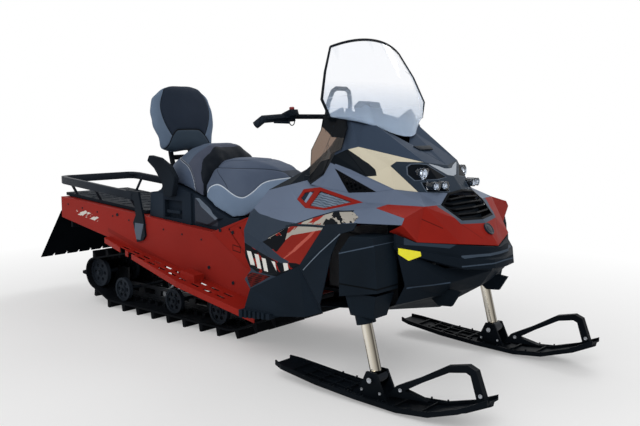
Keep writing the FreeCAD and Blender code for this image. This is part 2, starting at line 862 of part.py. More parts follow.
def stripes(corners, normal, along, count, width, low, high):
    """Bars along a direction, evenly spread over the outline and trimmed to it."""
    across = normal.cross(along)
    across.normalize()
    spread = [c.dot(across) for c in corners]
    reach = [c.dot(along) for c in corners]
    middle = sum(corners, vec(0, 0, 0)) * (1 / len(corners))
    start, pitch = min(spread), (max(spread) - min(spread)) / (count + 1)
    half = max(reach) - min(reach)
    bars = []
    for i in range(count):
        centre = middle + across * (start + pitch * (i + 1) - middle.dot(across))
        low_side, high_side = centre - across * (width / 2), centre + across * (width / 2)
        run = along * half
        bar = [low_side - run, low_side + run, high_side + run, high_side - run]
        bars.append(slab(bar, normal, low, high))
    return Part.makeCompound(bars).common(slab(corners, normal, low, high))


def facet(names):
    """Right-hand corners of a facet, in the order whose normal points outwards."""
    corners = [body_place(body_shares[name]) for name in names]
    middle, normal = plane_of(corners)
    return corners[::-1] if normal.y > 0 else corners


def vent_openings():
    return [drawn_in(facet(names), vent_frame_width) for names in vent_faces]


def vent_frame(panel):
    cuts = []
    for outline in vent_openings():
        normal = plane_of(outline)[1]
        cut = slab(outline, normal, -grille_lap * 2, grille_lap * 2)
        cuts += [cut, mirrored(cut)]
    return panel.cut(Part.makeCompound(cuts))


def vent_grilles():
    """Plates behind the vent frame's openings, the larger one ribbed."""
    pieces = []
    for outline in vent_openings():
        normal = plane_of(outline)[1]
        top = -body_wall - grille_drop
        backing = slab(drawn_in(outline, seat_fit), normal, top - grille_plate, top)
        if pieces:
            along = longest_edge(outline)
            ribs = stripes(drawn_in(outline, seat_fit), normal, along, vent_ribs, vent_rib_width,
                           top - grille_plate, -grille_plate)
            backing = backing.fuse(ribs)
        pieces.append(backing)
    return both_sides(Part.makeCompound(pieces))


def mesh_grille(panel):
    """Frame round a three-cornered opening, filled with two crossing sets of bars."""
    corners = facet(mesh_faces[0])
    normal = plane_of(corners)[1]
    opening = drawn_in(corners, mesh_frame_width)
    hole = slab(opening, normal, -grille_lap * 2, grille_lap * 2)
    fill = drawn_in(opening, -grille_plate - seat_fit)
    long_edge = longest_edge(corners)
    side = normal.cross(long_edge)
    bars = []
    for lean in (-1, 1):
        along = long_edge + side * lean
        along.normalize()
        bars.append(stripes(fill, normal, along, mesh_bars, mesh_bar_width,
                            -mesh_bar_depth - seat_fit, -seat_fit))
    bars += [mirrored(bar) for bar in bars]
    return panel.cut(Part.makeCompound([hole, mirrored(hole)])).multiFuse(bars)


def slat_ring(point, normal, along):
    """Four corners of a slat's section, standing on the face at a point."""
    rise = normal.cross(along)
    rise.normalize()
    top = point - normal * grille_plate
    foot = top - normal * slat_depth
    return [top - rise * (slat_height / 2), top + rise * (slat_height / 2),
            foot + rise * (slat_height / 2), foot - rise * (slat_height / 2)]


def hood_slats(panel):
    """The grille panel opened up, with level slats bent over its middle."""
    right = [body_place(body_shares[name]) for name in ("hood_brow", "hood_corner", "nose_front")]
    middle = [body_place(body_shares[name]) for name in ("nose_centre", "hood_centre")]
    left = [vec(p.x, -p.y, p.z) for p in right[::-1]]
    outline = right + middle[:1] + left + middle[1:]
    normal = plane_of(outline)[1]
    if normal.x < 0:
        outline = outline[::-1]
        normal = normal * -1
    opening = slab(drawn_in(outline, hood_frame_width), normal, -hood_cut_depth, hood_cut_depth)
    frame = panel.cut(opening)
    slats = []
    for share in slat_shares:
        edge_share = share * 2
        if edge_share < 1:
            end = mix(right[0], right[1], edge_share)
        else:
            end = mix(right[1], right[2], edge_share - 1)
        fold = mix(right[0], right[2], share)
        end = mix(end, fold, slat_end_share)
        centre = mix(middle[1], middle[0], share)
        line = [end, fold, centre]
        line += [vec(p.x, -p.y, p.z) for p in line[-2::-1]]
        slats.append(ruled([slat_ring(p, normal, vec(0, 1, 0)) for p in line]))
    return frame.multiFuse(slats)


def cowl_scoop(panel):
    """Raised three-cornered scoop over the cowl's middle line, open at its rear."""
    root, tip = body_place(body_shares["cowl_root"]), body_place(body_shares["cowl_tip"])
    up = (tip - root).cross(vec(0, 1, 0))
    up.normalize()
    if up.z < 0:
        up = up * -1
    rear, front = mix(root, tip, scoop_rear_share), mix(root, tip, scoop_front_share)
    crown = mix(root, tip, scoop_crown_share)
    solid = wedge_solid(rear, crown, front, scoop_half, up, scoop_rise)
    inside = wedge_solid(mix(rear, front, -scoop_mouth_share), crown, mix(rear, front, scoop_inner_share),
                         scoop_half - scoop_wall, up, scoop_rise - scoop_wall / 2)
    return panel.multiFuse([solid.cut(inside)])


def wedge_solid(rear, crown, front, half, up, rise):
    """Five-sided solid: a wide rear edge, raised to a crown, drawn to a point in front."""
    across = vec(0, half, 0)
    base = up * -scoop_sink
    corners = [rear - across, rear + across, front, crown - across * scoop_crown_width_share,
               crown + across * scoop_crown_width_share]
    low = [c + base for c in corners[:3]]
    high = [corners[0] + up * rise, corners[1] + up * rise, front + up * (rise * scoop_tip_share)]
    faces = [flat([low[0], low[1], low[2]][::-1]), flat(high),
             flat([low[0], low[1], high[1], high[0]]),
             flat([low[1], low[2], high[2], high[1]]),
             flat([low[2], low[0], high[0], high[2]])]
    return closed_solid(faces)


def toe_step():
    """Ribbed step on the fairing's lower rear edge."""
    heel, step = body_place(body_shares["fairing_heel"]), body_place(body_shares["fairing_step"])
    y = -board_outer_y - cut_over
    outline = [(heel.x, heel.z - toe_step_slot), (heel.x, heel.z + toe_step_slot * 2),
               (step.x, step.z + toe_step_slot), (step.x, step.z - toe_step_slot)]
    solid = side_prism(outline, y - toe_step_reach, y)
    pitch = (step.x - heel.x) / (toe_step_ribs + 1)
    slots = []
    for i in range(toe_step_ribs):
        x = heel.x + pitch * (i + 1)
        slots.append(block(x - toe_step_slot / 2, x + toe_step_slot / 2, y - toe_step_reach - cut_over,
                           y - toe_step_reach + toe_step_slot, 0, body_height))
    return solid.cut(Part.makeCompound(slots))


def belly_fin():
    """Plate that hangs under the front of the belly pan on each side."""
    outline = [(body_rear_x + sx * body_length, sz * body_height) for sx, sz in fin_shares]
    y = -fin_out_share * body_half_width
    return side_prism(outline, y - fin_thickness / 2, y + fin_thickness / 2)


def gauge_pod():
    """Instrument housing on the console's top, facing the rider."""
    outline = [(body_rear_x + sx * body_length, sz * body_height) for sx, sz in pod_shares]
    pod = side_prism(outline, -pod_half, pod_half)
    side = [(body_rear_x + sx * body_length, sz * body_height) for sx, sz in pod_window_shares]
    window = side_prism(side, -pod_half + scoop_wall, pod_half - scoop_wall)
    return pod.cut(window)


# Track: wheels that carry it, its line, belt and lugs

def loop_length(wheels):
    total = 0
    runs = tangent_runs(wheels)
    for i, (start, end, angle) in enumerate(runs):
        turn = (runs[(i + 1) % len(runs)][2] - angle) % (2 * math.pi)
        total += math.dist(start, end) + wheels[(i + 1) % len(wheels)][2] * turn
    return total


def tight_axle_x():
    """Where the rear axle draws the belt tight at a whole, even number of lug rows."""
    x = rear_axle_x
    rows = 2 * round(loop_length(track_wheels(0, x)) / lug_pitch_nominal / 2)
    for _ in range(tightening_steps):
        x -= (rows * lug_pitch_nominal - loop_length(track_wheels(0, x))) / 2
    return x


def track_wheels(offset, axle_x):
    """Circles that the belt goes round, in order from the drive axle over the top."""
    drive_radius = lug_pitch_nominal * sprocket_teeth / (2 * math.pi)
    floor_z = lug_height + belt_thickness
    return [
        (drive_x, drive_z, drive_radius + offset),
        (upper_shaft_x, upper_shaft_z, upper_wheel_radius + offset),
        (axle_x, rear_axle_z, rear_wheel_radius + offset),
        (rail_heel_x, floor_z + rail_heel_radius, rail_heel_radius + offset),
        (rail_toe_x, floor_z + rail_toe_radius, rail_toe_radius + offset),
    ]


def tangent_runs(wheels):
    """Straight runs between the circles, each as (start, end, angle of its outward normal)."""
    runs = []
    for (x1, z1, r1), (x2, z2, r2) in zip(wheels, wheels[1:] + wheels[:1]):
        distance = math.hypot(x2 - x1, z2 - z1)
        heading = math.atan2(z2 - z1, x2 - x1)
        angle = heading - math.acos((r1 - r2) / distance)
        cos, sin = math.cos(angle), math.sin(angle)
        runs.append(((x1 + r1 * cos, z1 + r1 * sin), (x2 + r2 * cos, z2 + r2 * sin), angle))
    return runs


def track_wire(offset, y):
    wheels = track_wheels(offset, tight_axle_x())
    runs = tangent_runs(wheels)
    edges = []
    for i, (start, end, angle) in enumerate(runs):
        edges.append(Part.LineSegment(vec(start[0], y, start[1]), vec(end[0], y, end[1])).toShape())
        x, z, radius = wheels[(i + 1) % len(wheels)]
        next_start, next_end, next_angle = runs[(i + 1) % len(runs)]
        turn = (next_angle - angle) % (2 * math.pi)
        middle = angle + turn / 2
        bend = vec(x + radius * math.cos(middle), y, z + radius * math.sin(middle))
        edges.append(Part.Arc(vec(end[0], y, end[1]), bend, vec(next_start[0], y, next_start[1])).toShape())
    return Part.Wire(edges)


def track_spots():
    """Evenly spaced (x, z, normal angle) round the belt's inner line, from the drive axle's nose."""
    wheels = track_wheels(0, tight_axle_x())
    runs = tangent_runs(wheels)
    pieces = []
    for i, (start, end, angle) in enumerate(runs):
        pieces.append(("run", start, end, angle, math.dist(start, end)))
        x, z, radius = wheels[(i + 1) % len(wheels)]
        turn = (runs[(i + 1) % len(runs)][2] - angle) % (2 * math.pi)
        pieces.append(("turn", (x, z), radius, angle, radius * turn))
    total = sum(piece[-1] for piece in pieces)
    rows = 2 * round(total / lug_pitch_nominal / 2)
    spots = []
    for row in range(rows):
        travel = total * row / rows
        for kind, first, second, angle, length in pieces:
            if travel <= length:
                break
            travel -= length
        if kind == "run":
            share = travel / length
            x = first[0] + (second[0] - first[0]) * share
            z = first[1] + (second[1] - first[1]) * share
            spots.append((x, z, angle))
        else:
            angle = angle + travel / second
            spots.append((first[0] + second * math.cos(angle), first[1] + second * math.sin(angle), angle))
    return spots


def on_belt(spot, across, out, y):
    """A point beside a belt spot: across along the belt, out from its inner face."""
    x, z, angle = spot
    cos, sin = math.cos(angle), math.sin(angle)
    return vec(x + out * cos - across * sin, y, z + out * sin + across * cos)


def belt_block(spot, foot, tip, low, high, y0, y1):
    """Tapered block standing on the belt, from low to high and from y0 to y1."""
    corners = [
        on_belt(spot, -foot / 2, low, y0), on_belt(spot, foot / 2, low, y0),
        on_belt(spot, tip / 2, high, y0), on_belt(spot, -tip / 2, high, y0),
    ]
    return flat(corners).extrude(vec(0, y1 - y0, 0))


def track():
    outer = Part.Face(track_wire(belt_thickness, -track_half_width))
    inner = Part.Face(track_wire(0, -track_half_width))
    belt = outer.cut(inner).extrude(vec(0, 2 * track_half_width, 0))
    lugs = []
    bite = belt_thickness / 2
    top = belt_thickness + lug_height
    for row, spot in enumerate(track_spots()):
        if row % 2 == 0:
            lugs.append(belt_block(spot, lug_foot, lug_tip, bite, top, -centre_lug_half, centre_lug_half))
        else:
            lugs.append(belt_block(spot, lug_foot, lug_tip, bite, top, side_lug_inner, side_lug_outer))
            lugs.append(belt_block(spot, lug_foot, lug_tip, bite, top, -side_lug_outer, -side_lug_inner))
        for y in (sprocket_y, -sprocket_y):
            low, high = y - drive_lug_half, y + drive_lug_half
            lugs.append(belt_block(spot, drive_lug_length, drive_lug_length,
                                   bite, -drive_lug_height, low, high))
    return belt.multiFuse(lugs)


# Wheels and axles

def wheel(x, y, z, radius, bore):
    """Rubber-rimmed wheel with a dished web and round windows."""
    half = wheel_width / 2
    web = half / 2
    body = tube(vec(x, y - half, z), vec(x, y + half, z), radius, radius - wheel_rim)
    disc = rod(vec(x, y - web, z), vec(x, y + web, z), radius - wheel_rim)
    hub = rod(vec(x, y - half, z), vec(x, y + half, z), wheel_hub_radius)
    body = body.fuse(disc).fuse(hub)
    ring = (radius - wheel_rim + wheel_hub_radius) / 2
    cuts = [rod(vec(x, y - half, z), vec(x, y + half, z), bore)]
    for i in range(wheel_holes):
        angle = 2 * math.pi * i / wheel_holes
        cx, cz = x + ring * math.cos(angle), z + ring * math.sin(angle)
        cuts.append(rod(vec(cx, y - half, cz), vec(cx, y + half, cz), wheel_hole_radius))
    return body.cut(Part.makeCompound(cuts))


def cross_shaft(x, z, half_length, radius):
    return rod(vec(x, -half_length, z), vec(x, half_length, z), radius)


def rear_axle():
    x = tight_axle_x()
    pieces = [cross_shaft(x, rear_axle_z, wheel_y + wheel_width, axle_radius)]
    for y in (-wheel_y, 0, wheel_y):
        pieces.append(wheel(x, y, rear_axle_z, rear_wheel_radius - seat_fit, axle_radius + seat_fit))
    return Part.makeCompound(pieces)


def idler_wheels():
    floor_z = lug_height + belt_thickness
    pieces = []
    for x in ground_wheel_xs:
        z = floor_z + ground_wheel_radius
        pieces.append(cross_shaft(x, z, wheel_y + wheel_width, shaft_radius))
        for y in (-wheel_y, wheel_y):
            pieces.append(wheel(x, y, z, ground_wheel_radius - seat_fit, shaft_radius + seat_fit))
    reach = tunnel_half_width - tunnel_wall - seat_fit
    pieces.append(cross_shaft(upper_shaft_x, upper_shaft_z, reach, axle_radius))
    for y in (-wheel_y, wheel_y):
        radius = upper_wheel_radius - seat_fit
        pieces.append(wheel(upper_shaft_x, y, upper_shaft_z, radius, axle_radius + seat_fit))
    return Part.makeCompound(pieces)


def sprocket(y):
    """Toothed drive wheel whose gaps take the belt's drive lugs."""
    radius = lug_pitch_nominal * sprocket_teeth / (2 * math.pi) - sprocket_gap
    root = radius - drive_lug_height - sprocket_gap
    gap = (drive_lug_length / 2 + sprocket_gap) / root
    step = 2 * math.pi / sprocket_teeth
    spots = track_spots()
    x, z, phase = spots[0]
    corners = []
    for tooth in range(sprocket_teeth):
        angle = phase + tooth * step
        for turn, reach in ((-gap, radius), (-gap, root), (gap, root), (gap, radius), (step / 2, radius)):
            here = angle + turn
            corners.append((drive_x + reach * math.cos(here), drive_z + reach * math.sin(here)))
    body = side_prism(corners, y - sprocket_width / 2, y + sprocket_width / 2)
    centre = vec(drive_x, y, drive_z)
    reach = vec(0, sprocket_width, 0)
    return body.cut(rod(centre - reach, centre + reach, axle_radius))


def drive_axle():
    reach = tunnel_half_width - tunnel_wall - seat_fit
    pieces = [cross_shaft(drive_x, drive_z, reach, axle_radius)]
    pieces += [sprocket(y) for y in (-sprocket_y, sprocket_y)]
    return pieces[0].multiFuse(pieces[1:])


# Slide rails and the arms and shocks that carry them

def rail_line():
    """Side outline of one rail, its sole a slider's height above the belt."""
    sole = lug_height + belt_thickness + slider_height
    radius = rail_toe_radius - slider_height
    centre_z = sole + radius
    outline = [(rail_rear_x, sole)]
    steps = rail_toe_steps
    sweep = math.radians(rail_toe_sweep)
    for i in range(steps + 1):
        angle = sweep * i / steps
        outline.append((rail_toe_x + radius * math.sin(angle), centre_z - radius * math.cos(angle)))
    for i in range(steps, -1, -1):
        angle = sweep * i / steps
        inner = radius - rail_height * mix_number(1, rail_toe_taper_share, i / steps)
        outline.append((rail_toe_x + inner * math.sin(angle), centre_z - inner * math.cos(angle)))
    outline.append((rail_rear_x, sole + rail_height))
    return outline


def slide_rails():
    y0 = rail_y - rail_thickness / 2
    rail = side_prism(rail_line(), y0, y0 + rail_thickness)
    sole = lug_height + belt_thickness + slider_height
    low = sole + (rail_height - rail_window_height) / 2
    windows = []
    x = rail_rear_x + rail_window_start
    while x + rail_window_length < rail_toe_x:
        windows.append(block(x, x + rail_window_length, y0 - cut_over, y0 + rail_thickness + cut_over,
                             low, low + rail_window_height))
        x += rail_window_pitch
    rail = rail.cut(Part.makeCompound(windows))
    floor_z = lug_height + belt_thickness
    slider = block(rail_rear_x, rail_toe_x, rail_y - slider_width / 2, rail_y + slider_width / 2,
                   floor_z + seat_fit, sole)
    axle_x = tight_axle_x()
    holder = block(axle_x - axle_radius * 2, rail_rear_x + rail_window_length / 2,
                   y0, y0 + rail_thickness,
                   sole + rail_height / 2, rear_axle_z + axle_radius * 2)
    rail = rail.fuse(slider).fuse(holder)
    bores = [rod(vec(axle_x, 0, rear_axle_z), vec(axle_x, wheel_y, rear_axle_z), axle_radius + seat_fit)]
    for x in ground_wheel_xs:
        z = floor_z + ground_wheel_radius
        bores.append(rod(vec(x, 0, z), vec(x, wheel_y, z), shaft_radius + seat_fit))
    inside = Part.Face(track_wire(-seat_fit, 0)).extrude(vec(0, track_half_width, 0))
    return both_sides(rail.cut(Part.makeCompound(bores)).common(inside))


def arm(top_x, top_z, foot_x, foot_z):
    """Pair of tubes from an upper cross shaft to a lower cross tube between the rails."""
    inside = rail_y - rail_thickness / 2 - seat_fit
    pieces = [cross_shaft(foot_x, foot_z, inside, arm_radius)]
    for y in (-arm_y, arm_y):
        pieces.append(rod(vec(top_x, y, top_z), vec(foot_x, y, foot_z), arm_radius))
    return pieces


def suspension_arms():
    reach = tunnel_half_width - tunnel_wall - seat_fit
    sole = lug_height + belt_thickness + slider_height
    foot_z = sole + rail_height / 2
    front = [cross_shaft(front_shaft_x, front_shaft_z, reach, arm_radius)]
    front += arm(front_shaft_x, front_shaft_z, front_arm_foot_x, foot_z)
    rear = arm(upper_shaft_x, upper_shaft_z, rear_arm_foot_x, foot_z)
    rear_solid = rear[0].multiFuse(rear[1:])
    rear_solid = rear_solid.cut(cross_shaft(upper_shaft_x, upper_shaft_z, reach, axle_radius + seat_fit))
    return Part.makeCompound([front[0].multiFuse(front[1:]), rear_solid])


def shock(top, foot, top_bore):
    """Damper body, rod and coil outline, with an eye on the shaft above and on a pin below."""
    waist = mix(top, foot, shock_waist_share)
    body = rod(top, waist, shock_body_radius)
    piston = rod(waist, foot, shock_rod_radius)
    upper, lower = [mix(top, foot, share) for share in shock_spring_shares]
    spring = rod(upper, lower, shock_spring_radius)
    eyes = []
    for centre in (top, foot):
        across = vec(0, shock_eye_half, 0)
        eyes.append(rod(centre - across, centre + across, shock_eye_radius))
    solid = body.multiFuse([piston, spring] + eyes)
    solid = solid.cut(cross_shaft_at(top, top_bore + seat_fit))
    inside = rail_y - rail_thickness / 2 - seat_fit
    pin = rod(foot - vec(0, inside, 0), foot + vec(0, inside, 0), shock_pin_radius)
    return solid.fuse(pin)


def cross_shaft_at(centre, radius):
    return rod(centre - vec(0, track_half_width, 0), centre + vec(0, track_half_width, 0), radius)


def shocks():
    sole = lug_height + belt_thickness + slider_height
    foot_z = sole + rail_height / 2
    front = shock(vec(front_shaft_x, 0, front_shaft_z), vec(front_shock_foot_x, 0, foot_z), arm_radius)
    rear = shock(vec(upper_shaft_x, 0, upper_shaft_z), vec(rear_shock_foot_x, 0, foot_z), axle_radius)
    return Part.makeCompound([front, rear])


# Tunnel, boards and plates

def tunnel_top(x):
    share = (x - tunnel_rear_x) / (tunnel_front_x - tunnel_rear_x)
    return tunnel_rear_top + (tunnel_front_top - tunnel_rear_top) * share


def foot_line(x):
    share = (x - tunnel_rear_x) / (foot_line_front_x - tunnel_rear_x)
    return tunnel_rear_foot + (foot_line_front_z - tunnel_rear_foot) * share


def tunnel():
    outline = [
        (tunnel_rear_x, tunnel_rear_foot), (tunnel_rear_x, tunnel_rear_top),
        (tunnel_front_x, tunnel_front_top), (tunnel_front_x, drive_z),
        (tunnel_nose_x, tunnel_nose_foot), (foot_line_front_x, foot_line_front_z),
    ]
    body = side_prism(outline, -tunnel_half_width, tunnel_half_width)
    cavity = [
        (tunnel_rear_x - cut_over, 0), (tunnel_rear_x - cut_over, tunnel_rear_top - tunnel_wall),
        (tunnel_rear_x, tunnel_rear_top - tunnel_wall),
        (tunnel_front_x - tunnel_wall, tunnel_front_top - tunnel_wall),
        (tunnel_front_x - tunnel_wall, 0),
    ]
    inside = tunnel_half_width - tunnel_wall
    ear = [(tunnel_rear_x + sx * tunnel_ear_reach, sz * tunnel_rear_top) for sx, sz in ear_shares]
    ears = side_prism(ear, -tunnel_half_width, -tunnel_half_width + ear_thickness)
    return body.cut(side_prism(cavity, -inside, inside)).multiFuse([ears, mirrored(ears)])


def board_outline():
    return [
        (board_rear_x, -tunnel_half_width), (board_rear_x, -board_rear_y), (board_full_x, -board_outer_y),
        (board_front_x, -board_outer_y), (board_front_x, -tunnel_half_width),
    ]


def running_board():
    """Sloping tread with slots, a turned-down outer lip and a raised foot block."""
    corners = []
    for x, y in board_outline():
        corners.append(vec(x, y, foot_line(x)))
    face = Part.Face(Part.makePolygon(corners + corners[:1]))
    board = face.extrude(vec(0, 0, board_thickness))
    rim = []
    for (x0, y0), (x1, y1) in zip(board_outline()[1:3], board_outline()[2:4]):
        strip = [
            vec(x0, y0, foot_line(x0) - board_lip), vec(x1, y1, foot_line(x1) - board_lip),
            vec(x1, y1, foot_line(x1) + board_thickness), vec(x0, y0, foot_line(x0) + board_thickness),
        ]
        rim.append(flat(strip).extrude(vec(0, board_thickness, 0)))
    board = board.multiFuse(rim)
    slots = []
    x = board_rear_x + board_slot_pitch * 2
    while x + board_slot_length < foot_line_front_x:
        reach = board_outer_y - tunnel_half_width
        if x < board_full_x:
            grown = (x - board_rear_x) / (board_full_x - board_rear_x)
            reach = reach * mix_number(board_taper_share, 1, grown)
        for share in board_row_shares:
            y = -tunnel_half_width - reach * share
            slots.append(block(x, x + board_slot_length, y - board_slot_width, y, 0, body_height))
        x += board_slot_pitch
    rear, front = [board_rear_x + share * (board_front_x - board_rear_x) for share in heel_block_shares]
    lean = heel_block_height / 2
    heel = [(rear, foot_line(rear)), (rear + lean, foot_line(rear) + heel_block_height),
            (front, foot_line(front) + heel_block_height + board_thickness), (front, foot_line(front))]
    half = heel_block_width / 2
    heel_block = side_prism(heel, -heel_block_out - half, -heel_block_out + half)
    return board.cut(Part.makeCompound(slots)).fuse(heel_block)


def side_plate():
    """Red gusset between the tunnel and the body on each side."""
    rear = body_rear_x - board_outer_y
    outline = [
        (rear, tunnel_top(rear)),
        (body_rear_x - foot_block_width, body_shares["rear_hip"][2] * body_height),
        (body_rear_x + foot_block_length, body_shares["rear_hip"][2] * body_height),
        (body_rear_x + foot_block_length, foot_line(body_rear_x) + rail_height),
        (body_rear_x, foot_line(body_rear_x) + rail_height),
    ]
    y = -tunnel_half_width - seat_fit
    plate = side_prism(outline, y - plate_thickness, y)
    holes = []
    (x0, z0), (x1, z1) = outline[:2]
    for share in plate_hole_shares:
        x = mix_number(x0, x1, share)
        z = mix_number(tunnel_top(x), mix_number(z0, z1, share), plate_hole_rise_share)
        holes.append(rod(vec(x, y - plate_thickness, z), vec(x, y, z), plate_hole_radius))
    return both_sides(plate.cut(Part.makeCompound(holes)))


# Rear end

def snow_flap():
    top_z = tunnel_rear_foot + lamp_height
    start = tunnel_rear_x - seat_fit
    outline = [(start, top_z), (flap_rear_x + flap_thickness, flap_foot_z), (flap_rear_x, flap_foot_z),
               (start - flap_thickness, top_z + flap_thickness), (start, top_z + flap_thickness)]
    flap = side_prism(outline, -flap_half_width, flap_half_width)
    notches = []
    pitch = 2 * flap_half_width / flap_teeth
    for i in range(flap_teeth - 1):
        y = -flap_half_width + pitch * (i + 1)
        corners = [vec(flap_rear_x - cut_over, y - flap_notch / 2, flap_foot_z - cut_over),
                   vec(flap_rear_x - cut_over, y + flap_notch / 2, flap_foot_z - cut_over),
                   vec(flap_rear_x - cut_over, y, flap_foot_z + flap_notch)]
        notches.append(flat(corners).extrude(vec(flap_notch_run, 0, 0)))
    half = hitch_half_width + hitch_window_gap
    low = tunnel_rear_foot - 2 * hitch_plate - hitch_gap - hitch_window_gap
    notches.append(block(flap_rear_x, tunnel_rear_x, -half, half, low, tunnel_rear_foot + hitch_window_gap))
    return flap.cut(Part.makeCompound(notches))


def deck_z(x):
    return tunnel_top(x) + deck_lift


def rack_deck():
    outline = [(deck_rear_x, deck_z(deck_rear_x)), (deck_front_x, deck_z(deck_front_x)),
               (deck_front_x, deck_z(deck_front_x) + deck_thickness),
               (deck_rear_x, deck_z(deck_rear_x) + deck_thickness)]
    deck = side_prism(outline, -deck_half_width, deck_half_width)
    cuts = []
    pitch_x = (deck_front_x - deck_rear_x) / (deck_slot_rows + 1)
    pitch_y = 2 * deck_half_width / (deck_slot_columns + 1)
    for i in range(deck_slot_rows):
        for j in range(deck_slot_columns):
            x = deck_rear_x + pitch_x * (i + 1)
            y = -deck_half_width + pitch_y * (j + 1)
            cuts.append(block(x - deck_slot_width / 2, x + deck_slot_width / 2,
                              y - deck_slot_length / 2, y + deck_slot_length / 2, 0, body_height))
    middle = (deck_rear_x + deck_front_x) / 2
    bosses = []
    for x in (middle - deck_anchor_x_half, middle + deck_anchor_x_half):
        for y in (-deck_anchor_y_half, deck_anchor_y_half):
            top = deck_z(x) + deck_thickness + deck_anchor_rim
            bosses.append(rod(vec(x, y, deck_z(x) + deck_thickness / 2), vec(x, y, top), 2 * deck_anchor_radius))
            cuts.append(rod(vec(x, y, 0), vec(x, y, body_height), deck_anchor_radius))
    deck = deck.multiFuse(bosses)
    feet = []
    for x in (deck_rear_x + pitch_x / 2, deck_front_x - pitch_x / 2):
        feet.append(block(x, x + deck_slot_width, -deck_half_width, deck_half_width,
                          tunnel_top(x + deck_slot_width / 2) + seat_fit, deck_z(x) + deck_lift))
    deck = deck.cut(Part.makeCompound(cuts)).multiFuse(feet)
    rear, front = deck_rear_x - cut_over, deck_front_x + cut_over
    roof = [(rear, 0), (rear, tunnel_top(rear) + seat_fit), (front, tunnel_top(front) + seat_fit), (front, 0)]
    return deck.cut(side_prism(roof, -tunnel_half_width, tunnel_half_width))


def rack_z(x):
    share = (x - rack_rear_x) / (rack_front_x - rack_rear_x)
    return rack_rear_z + (rack_front_z - rack_rear_z) * share


def rack_rail():
    corner = rail_corner
    end_x = rack_front_x + corner
    points = [
        vec(end_x, -rack_rail_y, rack_z(end_x)),
        vec(rack_rear_x + corner, -rack_rail_y, rack_z(rack_rear_x + corner)),
        vec(rack_rear_x, -rack_rail_y + corner, rack_z(rack_rear_x)),
        vec(rack_rear_x, rack_rail_y - corner, rack_z(rack_rear_x)),
        vec(rack_rear_x + corner, rack_rail_y, rack_z(rack_rear_x + corner)),
        vec(end_x, rack_rail_y, rack_z(end_x)),
    ]
    rail = bent_rod(points, rail_tube_radius)
    inside = deck_half_width - rack_post_radius
    posts = []
    middle = (rack_rear_x + rack_front_x) / 2
    for x in (rack_rear_x + corner * 2, middle, rack_front_x):
        for side in (-1, 1):
            foot = vec(x, side * inside, deck_z(x) + deck_thickness)
            head = vec(x, side * rack_rail_y, rack_z(x))
            posts.append(rod(foot, head, rack_post_radius))
    solid = rail.multiFuse(posts)
    top = deck_thickness + seat_fit
    roof = [(deck_rear_x - cut_over, 0), (deck_rear_x - cut_over, deck_z(deck_rear_x - cut_over) + top),
            (deck_front_x + cut_over, deck_z(deck_front_x + cut_over) + top), (deck_front_x + cut_over, 0)]
    return solid.cut(side_prism(roof, -rack_rail_y, rack_rail_y))


def rack_brackets():
    outline = []
    for along, up in side_bracket_shares:
        outline.append((bracket_x + along * bracket_length, bracket_z + up * bracket_height))
    y = -tunnel_half_width - seat_fit
    rear, front = rack_rear_x, rack_front_x + rail_corner + cut_over
    rail = rod(vec(rear, -rack_rail_y, rack_z(rear)), vec(front, -rack_rail_y, rack_z(front)),
               rail_tube_radius + seat_fit)
    return both_sides(side_prism(outline, y - bracket_thickness, y).cut(rail))


def tail_lamp():
    rear = tunnel_rear_x - seat_fit
    return block(rear - lamp_length, rear, -lamp_half_width, lamp_half_width,
                 tunnel_rear_top - lamp_height, tunnel_rear_top)


def tow_hitch():
    """Two tongues with a pin hole, on a plate across the tunnel's rear edge."""
    start = tunnel_rear_x + rail_window_length
    end = tunnel_rear_x - hitch_length
    low = tunnel_rear_foot - hitch_plate
    tongues = []
    for z in (low, low - hitch_gap - hitch_plate):
        tongues.append(block(end, start, -hitch_half_width, hitch_half_width, z, z + hitch_plate))
    inside = tunnel_half_width - tunnel_wall - seat_fit
    foot = low - hitch_gap - hitch_plate
    cross = block(start, start + hitch_plate, -inside, inside, foot, tunnel_rear_foot)
    web = block(tunnel_rear_x, start, -hitch_half_width, hitch_half_width, foot, low)
    body = cross.multiFuse(tongues + [web])
    pin_x = end + hitch_half_width
    hole = rod(vec(pin_x, 0, 0), vec(pin_x, 0, tunnel_rear_top), hitch_pin_radius)
    return body.cut(hole)


# Seat

def seat_z(share):
    return tunnel_front_top + share * seat_height


def seat_foot(along):
    """Height of what the pads rest on: the base's top, then their own nose."""
    return seat_z(table_row(seat_base_shares[1:-1] + seat_nose_shares, along)[0]) + seat_fit


def seat_section(share):
    along, foot_half, top_half, shoulder, top = share
    x = seat_rear_x + along * seat_length
    foot_y = foot_half * seat_half_width
    top_y = top_half * seat_half_width
    z0, z1, z2 = seat_foot(along), seat_z(shoulder), seat_z(top)
    return [vec(x, -foot_y, z0), vec(x, -foot_y, (z0 + z1) / 2), vec(x, -top_y, z1), vec(x, -top_y / 2, z2),
            vec(x, top_y / 2, z2), vec(x, top_y, z1), vec(x, foot_y, (z0 + z1) / 2), vec(x, foot_y, z0)]


def seat_pad(shares):
    return ruled([seat_section(share) for share in shares])


def seat_side(shares):
    return [(seat_rear_x + sx * seat_length, seat_z(sz)) for sx, sz in shares]


